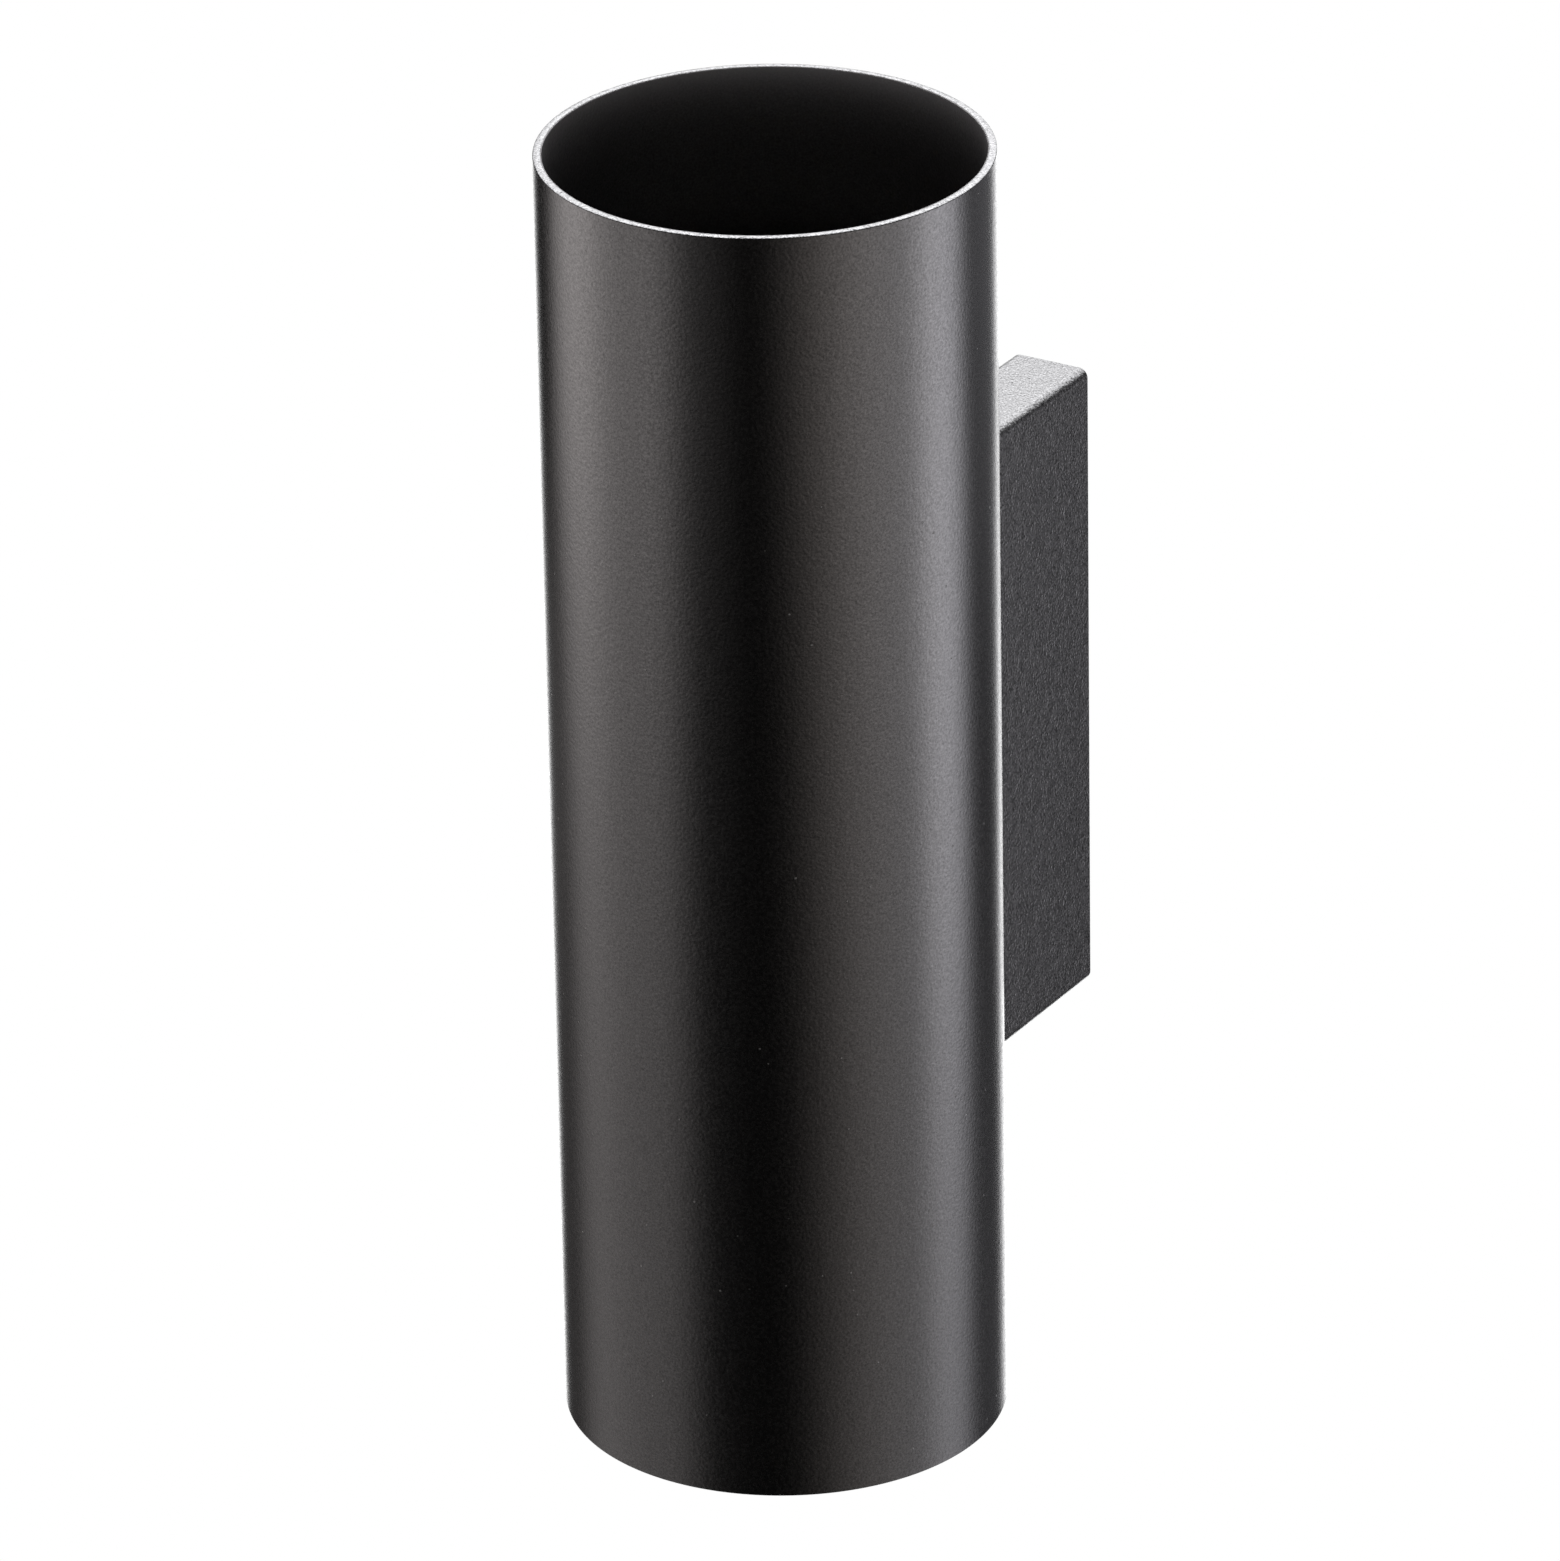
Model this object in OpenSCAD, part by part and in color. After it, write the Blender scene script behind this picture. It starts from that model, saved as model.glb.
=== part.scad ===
// Tube wall light: an upright tube, open at both ends, held off the wall by a slim upright box.
// A lamp shines out of each end of the tube. The box hooks on a steel bracket on the wall.
// The origin lies on the wall, in the middle of the box's back. The light stands out along -Y,
// +Z is up, and the tube's axis runs parallel to Z. Lengths are in millimetres.

/* [Tube] */
// Outer diameter of the tube
tube_d = 66; // [60:0.5:90]
// Length of the tube
tube_len = 200; // [170:1:320]
// Wall thickness of the tube
tube_wall = 1.3; // [1:0.1:2.5]
// Bevel on both edges of each rim
rim_bevel = 0.2; // [0.05:0.05:0.4]

/* [Wall box] */
// Distance from the wall to the tube's axis
wall_to_axis = 81.4; // [78:0.2:130]
// Width of the box
box_w = 13; // [12:0.5:24]
// Height of the box
box_h = 102; // [98:1:150]
// How far the middle of the box lies below the middle of the tube
box_drop = 14.2; // [8:0.2:20]
// Wall thickness of the box
box_wall = 1.5; // [1.2:0.1:2]
// Radius of the box's long edges
box_round = 1.5; // [0.5:0.1:3]
// Thickness of the web that the tube is screwed to
web_t = 4; // [3:0.5:8]
// Distance from each end of the box to the screw that holds the tube
carrier_screw_inset = 16; // [12:0.5:20]

/* [Wall bracket] */
// Thickness of the bracket's steel
bracket_t = 2; // [1.5:0.1:3]
// Diameter of the wall screw holes
wall_hole_d = 4.5; // [3.5:0.1:5.5]
// Distance from the bracket's bent ends to the wall screw holes
wall_hole_inset = 5.4; // [4:0.1:12]
// Height of the cable slot
cable_slot_h = 14; // [10:0.5:16]

/* [Lamps] */
// Diameter of a lamp's face
lamp_d = 50; // [45:0.5:55]
// Length of a lamp from its seat to its face
lamp_len = 47; // [42:0.5:56]
// Distance between the middles of a lamp's two pins
pin_span = 10; // [9:0.5:12]
// Turn that frees a lamp, in degrees
twist_angle = 25; // [15:1:35]

/* [Lampholders] */
// Diameter of a lampholder
holder_d = 30; // [28:0.5:36]
// Height of a lampholder
holder_h = 15; // [14:0.5:20]
// Space between the carrier's two shelves
shelf_gap = 16.4; // [14:0.2:26]
// Thickness of the carrier's steel
carrier_t = 1.5; // [1:0.1:2]

/* [Wiring] */
// Diameter of one insulated lead
lead_d = 1.6; // [1.2:0.1:1.8]
// Distance between the terminal block's poles
pole_pitch = 8.6; // [8:0.1:10]
// Length of the terminal block along its leads
block_len = 14; // [12:0.5:18]

/* [Hidden] */
$fn = 96;

// Shared fits
cut_over = 1;
fit_gap = 0.1;
thread_gap = 0.05;
seat_gap = 0.3;
screw_play = 0.2;

// Screw sizes
m4_d = 4;
m4_head_d = 7.6;
m4_head_h = 2.6;
m3_d = 3;
m3_head_d = 5.5;
m3_head_h = 1.8;
m2_d = 2;
m2_head_d = 3.6;
m2_head_h = 1.3;
screw_end = 1.2;

// Tube, worked out
tube_r = tube_d / 2;
bore_r = tube_r - tube_wall;

// Box, worked out
box_in_w = box_w - 2 * box_wall;
box_in_h = box_h - 2 * box_wall;
saddle_r = tube_r + fit_gap;
web_back = saddle_r + web_t;
box_hollow = wall_to_axis - web_back;
carrier_screw_z = box_h / 2 - carrier_screw_inset;
rib_t = 3;
rib_h = 4;
rib_gap = 0.3;

// Bracket, worked out
bracket_w = box_in_w - 2 * seat_gap;
bracket_high = box_in_h / 2 - rib_h - fit_gap;
lip_h = 0.8 * rib_h;
lift_room = 0.5;
bracket_low = lip_h + lift_room - box_in_h / 2;
hook_reach = 2 * bracket_t + 2 * rib_gap + rib_t;
foot_reach = 14;
lock_y = 9;
wall_hole_z = bracket_high - bracket_t - wall_hole_inset;

// Terminal block, worked out
pole_count = 3;
tab_t = 1;
tab_margin = 1;
block_side_gap = 0.5;
block_high = box_in_w / 2 - block_side_gap;
block_w = block_high + bracket_w / 2 - tab_t;
block_x = bracket_w / 2 - tab_t - block_w / 2;
block_back = bracket_t + seat_gap;
block_depth = pole_count * pole_pitch;
lead_drop = 9;
block_top = box_drop - lead_drop;
block_low = block_top - block_len;
sleeve_inset = 1;
sleeve_bore_r = lead_d + screw_play;
sleeve_wall = 0.8;
sleeve_r = sleeve_bore_r + sleeve_wall;
clamp_screw_d = 2.2;
clamp_head_d = 2.8;
clamp_z_share = 0.27;
rib_notch = 0.8;

// Cable slot, worked out
slot_side = 1.5;
slot_below_block = 4;
cable_slot_w = bracket_w - 2 * slot_side;
cable_slot_z = block_low - slot_below_block - cable_slot_h / 2;
grommet_wall = 0.8;
grommet_lip = 1;
grommet_lip_t = 1.2;

// Carrier, worked out
spine_r = bore_r - fit_gap;
spine_in_r = spine_r - carrier_t;
spine_w = 22;
spine_margin = 8;
spine_high = carrier_screw_z - box_drop + spine_margin;
spine_low = -carrier_screw_z - box_drop - spine_margin;
shelf_d = 40;
shelf_hole_d = 16;
carrier_head_seat = sqrt(spine_in_r * spine_in_r - m4_head_d * m4_head_d / 4);

// Lead bush, worked out
bush_bore_r = 2.9;
bush_wall = 0.8;
bush_r = bush_bore_r + bush_wall;
bush_flange_r = bush_r + 1;
bush_flange_t = 1;
bush_seat = sqrt(spine_in_r * spine_in_r - bush_flange_r * bush_flange_r);

// Lampholder, worked out
holder_r = holder_d / 2;
holder_bevel = 0.6;
holder_lid = 3.3;
holder_floor = 3.2;
holder_screw_edge = 4.5;
holder_screw_at = holder_r - holder_screw_edge;
counterbore_d = m3_head_d + 2.5 * screw_play;
counterbore_depth = 3.2;
pin_at = pin_span / 2;
cap_z = shelf_gap / 2 + carrier_t + holder_h + seat_gap;

// Lamp pins, worked out
pin_d = 3;
pin_head_d = 4.8;
pin_head_h = 2.5;
pin_len = 7;
pin_play = 0.35;
chamber_play = 0.45;

// Holder contacts, worked out
contact_t = 0.4;
contact_w = 3;
contact_reach = 1.5;
contact_back = 1.8;
contact_gap = 0.15;
contact_foot = seat_gap + holder_h - holder_floor;

// Lamp, worked out
lamp_r = lamp_d / 2;
base_h = 12;
base_floor = 3;
base_wall = 1.5;
base_bevel = 0.8;
base_step = 4;
base_r = 13;
neck_r = 14.5;
lamp_rim_h = 3;
lamp_rim_bevel = 0.6;
shell_wall = 1.4;
bell_steps = 10;
bell_power = 0.8;
bell_len = lamp_len - lamp_rim_h - base_h;
lens_rim = 1.8;
lens_r = lamp_r - lens_rim;
lens_t = 2.2;
lens_ledge = 2;
led_room_depth = 9;
heat_plate_t = 2;
wire_hole_r = 8;
board_t = 1.6;
board_play = 0.7;
board_r = lens_r - lens_ledge - board_play;
emitter_r = 8;
emitter_t = 0.8;
emitter_dam_w = 1;
emitter_dam_t = 0.4;

// Leads, worked out
lead_sides = 8;
bend_steps = 4;
lead_bend = 3;
lead_apart = 1.6 * lead_d;
lead_lane = 1.6 * lead_d;
lane_start = 7;
lead_tail = 1.5;
lead_depth = 5;
contact_z = cap_z - contact_foot;

// Earth connection, worked out
lug_t = 0.8;
lug_r = 3;
lug_barrel_r = 1.5;
lug_barrel_len = 4.5;
lug_bore_r = lead_d / 2 + thread_gap;
lug_grip = 3;
earth_rise = 5;
earth_z = box_drop + earth_rise;
earth_loop = 4;

// Sets its children in the tube's own frame, with the origin in the middle of the tube
module at_tube() translate([0, -wall_to_axis, box_drop]) children();

// Sets its children in one lamp's frame: its seat at zero, its face towards +Z
module at_lamp(up) at_tube() rotate([up ? 0 : 180, 0, 0]) translate([0, 0, cap_z]) children();

// A round bar along +Y, between two distances from the tube's axis
module rear_bar(r, near, far, z = 0)
    translate([0, near, z]) rotate([-90, 0, 0]) cylinder(r = r, h = far - near);

// A rectangle with round corners, flat on the drawing plane
module rounded_outline(w, h, r) {
    square([w - 2 * r, h], center = true);
    square([w, h - 2 * r], center = true);
    for (x = [-1, 1], y = [-1, 1]) translate([x * (w / 2 - r), y * (h / 2 - r)]) circle(r);
}

// An upright slot with round ends, along Y, from y = back to y = front
module slot_bar(w, h, back, front) {
    translate([0, back, 0]) rotate([90, 0, 0]) linear_extrude(back - front) {
        square([w, h - w], center = true);
        for (s = [-1, 1]) translate([0, s * (h - w) / 2]) circle(d = w);
    }
}

// A screw with a bevelled round head and a cross recess: the head's underside is at zero,
// the head is above it and the shank below
module screw(d, head_d, head_h, len) {
    bevel = head_h / 3;
    recess_w = head_d / 7;
    difference() {
        union() {
            cylinder(d = head_d, h = head_h - bevel);
            translate([0, 0, head_h - bevel])
                cylinder(d1 = head_d, d2 = head_d - 2 * bevel, h = bevel);
            translate([0, 0, -len]) cylinder(d = d, h = len);
        }
        for (turn = [0, 90]) rotate([0, 0, turn])
            translate([-head_d / 4, -recess_w / 2, head_h / 2]) cube([head_d / 2, recess_w, head_h]);
    }
}

// Tube
module tube() color("#1d1d1e") at_tube() difference() {
    rotate_extrude() polygon([
        [bore_r, rim_bevel - tube_len / 2], [bore_r + rim_bevel, -tube_len / 2],
        [tube_r - rim_bevel, -tube_len / 2], [tube_r, rim_bevel - tube_len / 2],
        [tube_r, tube_len / 2 - rim_bevel], [tube_r - rim_bevel, tube_len / 2],
        [bore_r + rim_bevel, tube_len / 2], [bore_r, tube_len / 2 - rim_bevel]]);
    for (s = [-1, 1])
        rear_bar(m4_d / 2 + screw_play, bore_r - tube_wall, tube_r + cut_over,
            s * carrier_screw_z - box_drop);
    rear_bar(bush_r + fit_gap, bore_r - tube_wall, tube_r + cut_over);
}

// Box: its web meets the tube in a saddle, and its back is open to the wall
module wall_box() color("#2f2e2f") difference() {
    union() {
        difference() {
            rotate([90, 0, 0]) linear_extrude(wall_to_axis - tube_r / 2)
                rounded_outline(box_w, box_h, box_round);
            translate([-box_in_w / 2, -box_hollow, -box_in_h / 2])
                cube([box_in_w, box_hollow + cut_over, box_in_h]);
        }
        translate([-box_in_w / 2, -bracket_t - rib_gap - rib_t, box_in_h / 2 - rib_h])
            cube([box_in_w, rib_t, rib_h]);
    }
    translate([0, -wall_to_axis, 0]) cylinder(r = saddle_r, h = 2 * box_h, center = true);
    at_tube() {
        for (s = [-1, 1])
            rear_bar(m4_d / 2 + thread_gap, tube_r - cut_over, web_back + cut_over,
                s * carrier_screw_z - box_drop);
        rear_bar(bush_r + fit_gap, tube_r - cut_over, web_back + cut_over);
    }
    translate([0, -lock_y, -box_h / 2 - cut_over])
        cylinder(d = m3_d + 2 * screw_play, h = box_wall + 2 * cut_over);
}

// Bracket: a flat strip with a hook at its top, a threaded foot and a side tab for the terminals
module wall_bracket() color("#b9bcc0") difference() {
    union() {
        translate([-bracket_w / 2, -bracket_t, bracket_low])
            cube([bracket_w, bracket_t, bracket_high - bracket_low]);
        translate([-bracket_w / 2, -hook_reach, bracket_high - bracket_t])
            cube([bracket_w, hook_reach, bracket_t]);
        translate([-bracket_w / 2, -hook_reach, bracket_high - bracket_t])
            cube([bracket_w, bracket_t, bracket_t + lip_h]);
        translate([-bracket_w / 2, -foot_reach, bracket_low])
            cube([bracket_w, foot_reach, bracket_t]);
        translate([bracket_w / 2 - tab_t, -block_back - block_depth, block_low - tab_margin])
            cube([tab_t, block_back + block_depth, block_len + 2 * tab_margin]);
    }
    for (s = [-1, 1]) translate([0, cut_over, s * wall_hole_z])
        rotate([90, 0, 0]) cylinder(d = wall_hole_d, h = bracket_t + 2 * cut_over);
    translate([0, 0, cable_slot_z])
        slot_bar(cable_slot_w, cable_slot_h, cut_over, -bracket_t - cut_over);
    translate([0, -lock_y, bracket_low - cut_over])
        cylinder(d = m3_d + 2 * thread_gap, h = bracket_t + 2 * cut_over);
    translate([0, cut_over, earth_z])
        rotate([90, 0, 0]) cylinder(d = m3_d + 2 * thread_gap, h = bracket_t + 2 * cut_over);
    block_screw_axis() translate([0, 0, -cut_over])
        cylinder(d = m2_d + 2 * thread_gap, h = tab_t + 2 * cut_over);
}

// Rubber edging of the cable slot, with a lip on the side away from the wall
module wall_grommet() color("#202021") translate([0, 0, cable_slot_z]) difference() {
    union() {
        slot_bar(cable_slot_w - 2 * fit_gap, cable_slot_h - 2 * fit_gap, 0, -bracket_t);
        slot_bar(cable_slot_w + 2 * grommet_lip, cable_slot_h + 2 * grommet_lip,
            -bracket_t, -bracket_t - grommet_lip_t);
    }
    slot_bar(cable_slot_w - 2 * grommet_wall, cable_slot_h - 2 * grommet_wall,
        cut_over, -bracket_t - grommet_lip_t - cut_over);
}

// Screw under the box: it pulls the box down on the bracket's hook
module lock_screw() color("#9a9da1")
    translate([0, -lock_y, -box_h / 2]) rotate([180, 0, 0])
        screw(m3_d, m3_head_d, m3_head_h,
            box_wall + lip_h + lift_room + bracket_t + screw_end);

// Carrier: a strip that follows the tube's bore, with a round shelf for each lampholder
module lamp_carrier() color("#c3c6c9") at_tube() difference() {
    intersection() {
        union() {
            difference() {
                translate([0, 0, spine_low]) cylinder(r = spine_r, h = spine_high - spine_low);
                translate([0, 0, spine_low - cut_over])
                    cylinder(r = spine_in_r, h = spine_high - spine_low + 2 * cut_over);
                translate([-tube_r, -tube_r, spine_low - cut_over])
                    cube([tube_d, tube_r, spine_high - spine_low + 2 * cut_over]);
                for (s = [-1, 1]) translate([s * (spine_w / 2 + tube_r), 0, 0])
                    cube([tube_d, 2 * tube_d, 2 * (spine_high - spine_low)], center = true);
            }
            for (s = [-1, 1]) translate([0, 0, s * (shelf_gap + carrier_t) / 2]) {
                cylinder(d = shelf_d, h = carrier_t, center = true);
                translate([0, spine_r / 2, 0])
                    cube([spine_w, spine_r, carrier_t], center = true);
            }
        }
        translate([0, 0, spine_low]) cylinder(r = spine_r, h = spine_high - spine_low);
    }
    for (s = [-1, 1]) {
        rear_bar(m4_d / 2 + screw_play, spine_in_r - carrier_t, spine_r + cut_over,
            s * carrier_screw_z - box_drop);
        // Room for the screw's head where it lies near a shelf
        rear_bar(m4_head_d / 2 + screw_play, carrier_head_seat - m4_head_h - screw_play,
            carrier_head_seat - fit_gap, s * carrier_screw_z - box_drop);
    }
    rear_bar(bush_r + fit_gap, spine_in_r - carrier_t, spine_r + cut_over);
    cylinder(d = shelf_hole_d, h = shelf_gap + 4 * carrier_t, center = true);
    for (s = [-1, 1]) translate([0, s * holder_screw_at, 0])
        cylinder(d = m3_d + 2 * thread_gap, h = shelf_gap + 4 * carrier_t, center = true);
}

// The two screws through carrier and tube into the box's web
module carrier_screws() color("#9a9da1") at_tube()
    for (s = [-1, 1])
        translate([0, carrier_head_seat, s * carrier_screw_z - box_drop]) rotate([90, 0, 0])
            screw(m4_d, m4_head_d, m4_head_h, web_back - carrier_head_seat + screw_end);

// Bush that takes the leads through carrier, tube and web
module lead_bush() color("#202021") at_tube() difference() {
    union() {
        rear_bar(bush_r, bush_seat - bush_flange_t, web_back + bush_flange_t);
        rear_bar(bush_flange_r, bush_seat - bush_flange_t, bush_seat);
        rear_bar(bush_flange_r, web_back, web_back + bush_flange_t);
    }
    rear_bar(bush_bore_r, bush_seat - bush_flange_t - cut_over, web_back + bush_flange_t + cut_over);
}

// A curved slot round the lamp's axis, from the locked place to the free place of one pin
module pin_track(width, low, high) {
    rotate_extrude(angle = twist_angle) translate([pin_at - width / 2, low])
        square([width, high - low]);
    for (turn = [0, twist_angle]) rotate([0, 0, turn])
        translate([pin_at, 0, low]) cylinder(d = width, h = high - low);
}

// Lampholder: a ceramic puck whose two keyhole slots let a lamp's pins in and hold them
module lampholder(up) color("#e9e6df") at_lamp(up) difference() {
    rotate_extrude() polygon([
        [0, -seat_gap - holder_h], [holder_r - holder_bevel, -seat_gap - holder_h],
        [holder_r, holder_bevel - seat_gap - holder_h], [holder_r, -seat_gap - holder_bevel],
        [holder_r - holder_bevel, -seat_gap], [0, -seat_gap]]);
    for (half = [0, 180]) rotate([0, 0, half]) {
        pin_track(pin_d + 2 * pin_play, -seat_gap - holder_lid - cut_over, cut_over);
        pin_track(pin_head_d + 2 * chamber_play, -contact_foot, -seat_gap - holder_lid);
        rotate([0, 0, twist_angle]) translate([pin_at, 0, -seat_gap - holder_lid - cut_over])
            cylinder(d = pin_head_d + 2 * pin_play, h = holder_lid + 2 * cut_over);
        translate([pin_at, 0, -seat_gap - holder_h - cut_over])
            cylinder(d = lead_d + 2 * screw_play, h = holder_floor + 2 * cut_over);
        translate([0, holder_screw_at, -seat_gap - holder_h - cut_over])
            cylinder(d = m3_d + 2 * screw_play, h = holder_h + 2 * cut_over);
        translate([0, holder_screw_at, -seat_gap - counterbore_depth])
            cylinder(d = counterbore_d, h = counterbore_depth + cut_over);
    }
}

// Two spring contacts under the lamp's pins: each is a foot, an upright and a leaf
module holder_contacts(up) color("#c9a24a") at_lamp(up)
    for (half = [0, 180]) rotate([0, 0, half]) translate([pin_at, 0, 0]) {
        upright = contact_foot - pin_len - contact_gap;
        translate([-contact_w / 2, -contact_back, -contact_foot])
            cube([contact_w, contact_back + contact_reach, contact_t]);
        translate([-contact_w / 2, -contact_back, -contact_foot])
            cube([contact_w, contact_t, upright]);
        translate([-contact_w / 2, -contact_back, -pin_len - contact_gap - contact_t])
            cube([contact_w, contact_back + contact_reach, contact_t]);
    }

// Two screws that hold a lampholder on its shelf
module holder_screws(up) color("#9a9da1") at_lamp(up)
    for (s = [-1, 1])
        translate([0, s * holder_screw_at, -seat_gap - counterbore_depth])
            screw(m3_d, m3_head_d, m3_head_h,
                holder_h - counterbore_depth + carrier_t + screw_end);

// Radius of the lamp's bell, at a share of the way from its neck to its rim
function bell_r(share) = neck_r + (lamp_r - neck_r) * pow(sin(90 * share), bell_power);

// Lamp shell: a bell with a seat for the lens and a plate that carries the board
module lamp_shell(up) color("#d8d8d6") at_lamp(up) {
    led_room_z = lamp_len - led_room_depth;
    difference() {
        rotate_extrude() polygon(concat(
            [[0, base_h]],
            [for (i = [0:bell_steps]) [bell_r(i / bell_steps), base_h + bell_len * i / bell_steps]],
            [[lamp_r, lamp_len - lamp_rim_bevel], [lamp_r - lamp_rim_bevel, lamp_len],
                [0, lamp_len]]));
        translate([0, 0, lamp_len - lens_t - seat_gap])
            cylinder(r = lens_r + fit_gap, h = lens_t + seat_gap + cut_over);
        translate([0, 0, led_room_z]) cylinder(r = lens_r - lens_ledge, h = led_room_depth);
        lower_room_share = (led_room_z - heat_plate_t - base_h) / bell_len;
        rotate_extrude() polygon(concat(
            [[0, base_h + shell_wall]],
            [for (i = [1:bell_steps])
                let (share = lower_room_share * i / bell_steps)
                [bell_r(share) - shell_wall, base_h + bell_len * share]],
            [[0, led_room_z - heat_plate_t]]));
        translate([0, 0, base_h - cut_over]) cylinder(r = wire_hole_r, h = shell_wall + 2 * cut_over);
    }
}

// Lamp base: a plastic cup that closes the bell and holds the two pins
module lamp_base(up) color("#efefec") at_lamp(up) difference() {
    rotate_extrude() polygon([
        [0, 0], [base_r - base_bevel, 0], [base_r, base_bevel], [base_r, base_step],
        [neck_r, base_h / 2], [neck_r, base_h], [neck_r - base_wall, base_h],
        [neck_r - base_wall, base_h / 2], [base_r - base_wall, base_step],
        [base_r - base_wall, base_floor], [0, base_floor]]);
    for (s = [-1, 1]) translate([s * pin_at, 0, -cut_over])
        cylinder(d = pin_d + 2 * thread_gap, h = base_floor + 2 * cut_over);
}

// The two pins of a lamp, each with a foot that the lampholder grips and a head in the base
module lamp_pins(up) color("#c8cacc") at_lamp(up)
    for (s = [-1, 1]) translate([s * pin_at, 0, 0]) {
        translate([0, 0, -pin_len]) cylinder(d = pin_head_d, h = pin_head_h);
        translate([0, 0, -pin_len]) cylinder(d = pin_d, h = pin_len + base_floor);
        translate([0, 0, base_floor]) cylinder(d = pin_head_d, h = pin_d / 3);
    }

// Board with one round emitter inside a raised dam
module led_board(up) color("#f4f4f0") at_lamp(up)
    translate([0, 0, lamp_len - led_room_depth]) {
        cylinder(r = board_r, h = board_t);
        cylinder(r = emitter_r, h = board_t + emitter_t);
        difference() {
            cylinder(r = emitter_r + emitter_dam_w, h = board_t + emitter_t + emitter_dam_t);
            translate([0, 0, board_t]) cylinder(r = emitter_r, h = 2 * emitter_t + cut_over);
        }
    }

// Lens: a clear disc on the shell's ledge
module lamp_lens(up) color("#dfe6ea") at_lamp(up)
    translate([0, 0, lamp_len - lens_t - seat_gap]) cylinder(r = lens_r, h = lens_t);

// Distance from the wall to the middle of a pole, the nearest to the wall first
function pole_y(i) = -block_back - (i + 0.5) * pole_pitch;

// The way of the screw that holds the terminal block to the bracket's tab
module block_screw_axis()
    translate([bracket_w / 2 - tab_t, (pole_y(0) + pole_y(1)) / 2, (block_low + block_top) / 2])
        rotate([0, 90, 0]) children();

// Sets its children at each clamping screw, with the screw's axis along +X
module at_clamps()
    for (i = [0:pole_count - 1], s = [-1, 1])
        translate([block_x, pole_y(i), (block_low + block_top) / 2 + s * clamp_z_share * block_len])
            children();

// Terminal block: a bar of insulating plastic, notched between its poles
module terminal_block() color("#e6e4dc") difference() {
    translate([block_x - block_w / 2, -block_back - block_depth, block_low])
        cube([block_w, block_depth, block_len]);
    for (i = [0:pole_count - 1]) translate([block_x, pole_y(i), block_low - cut_over])
        cylinder(r = sleeve_r + fit_gap, h = block_len + 2 * cut_over);
    at_clamps() translate([-block_w, 0, 0]) rotate([0, 90, 0])
        cylinder(d = clamp_head_d + 2 * screw_play, h = block_w);
    for (i = [1:pole_count - 1], z = [block_low, block_top])
        translate([block_x, -block_back - i * pole_pitch, z])
            cube([block_w + 2 * cut_over, rib_notch, 2 * rib_notch], center = true);
    block_screw_axis() translate([0, 0, -block_w - cut_over])
        cylinder(d = m2_d + 2 * fit_gap, h = block_w + 2 * cut_over);
}

// Brass sleeves that join the leads
module terminal_sleeves() color("#c9a24a") difference() {
    for (i = [0:pole_count - 1]) translate([block_x, pole_y(i), block_low + sleeve_inset])
        cylinder(r = sleeve_r, h = block_len - 2 * sleeve_inset);
    for (i = [0:pole_count - 1]) translate([block_x, pole_y(i), block_low])
        cylinder(r = sleeve_bore_r, h = block_len);
    at_clamps() translate([-sleeve_r - cut_over, 0, 0]) rotate([0, 90, 0])
        cylinder(d = clamp_screw_d + 2 * thread_gap, h = sleeve_r + cut_over);
}

// Clamping screws, two to a sleeve
module terminal_screws() color("#c8cacc")
    at_clamps() translate([-sleeve_r - fit_gap, 0, 0]) rotate([0, -90, 0])
        screw(clamp_screw_d, clamp_head_d, clamp_head_d / 3,
            sleeve_r - lead_d / 2);

// Screw that holds the terminal block to the bracket's tab
module terminal_block_screw() color("#9a9da1")
    block_screw_axis() translate([0, 0, -block_w]) rotate([180, 0, 0])
        screw(m2_d, m2_head_d, m2_head_h / 3, block_w + tab_t);

// Ways for the leads: a line of corners, each rounded off within a given distance
function unit(v) = v / norm(v);
function corner(a, p, b, reach) = let (
        d = min(reach, norm(a - p) / 2, norm(b - p) / 2),
        from = p + d * unit(a - p),
        to = p + d * unit(b - p))
    [for (i = [0:bend_steps]) let (u = i / bend_steps)
        (1 - u) * (1 - u) * from + 2 * u * (1 - u) * p + u * u * to];
function rounded_way(p, reach) = concat([p[0]],
    [for (i = [1:len(p) - 2]) each corner(p[i - 1], p[i], p[i + 1], reach)], [p[len(p) - 1]]);
function headings(p) = [for (i = [0:len(p) - 1])
    unit(p[min(i + 1, len(p) - 1)] - p[max(i - 1, 0)])];
function square_to(t, n) = unit(n - (n * t) * t);
function carried(t, n, i = 0) = i == len(t) ? [] :
    let (here = square_to(t[i], n)) concat([here], carried(t, here, i + 1));

// A round lead of many flat sides, swept along a way
module lead(corners, d = lead_d, reach = lead_bend) {
    way = rounded_way(corners, reach);
    t = headings(way);
    n = carried(t, [1, 0.3, 0.2]);
    last = len(way) - 1;
    rings = [for (i = [0:last], k = [0:lead_sides - 1]) let (a = 360 * k / lead_sides)
        way[i] + d / 2 * (cos(a) * n[i] + sin(a) * cross(t[i], n[i]))];
    sides = [for (i = [0:last - 1], k = [0:lead_sides - 1]) let (
            a = i * lead_sides + k,
            b = i * lead_sides + (k + 1) % lead_sides)
        each [[a, a + lead_sides, b], [b, a + lead_sides, b + lead_sides]]];
    first_end = [for (k = [0:lead_sides - 1]) k];
    last_end = [for (k = [lead_sides - 1:-1:0]) last * lead_sides + k];
    polyhedron(rings, concat(sides, [first_end, last_end]));
}

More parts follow.
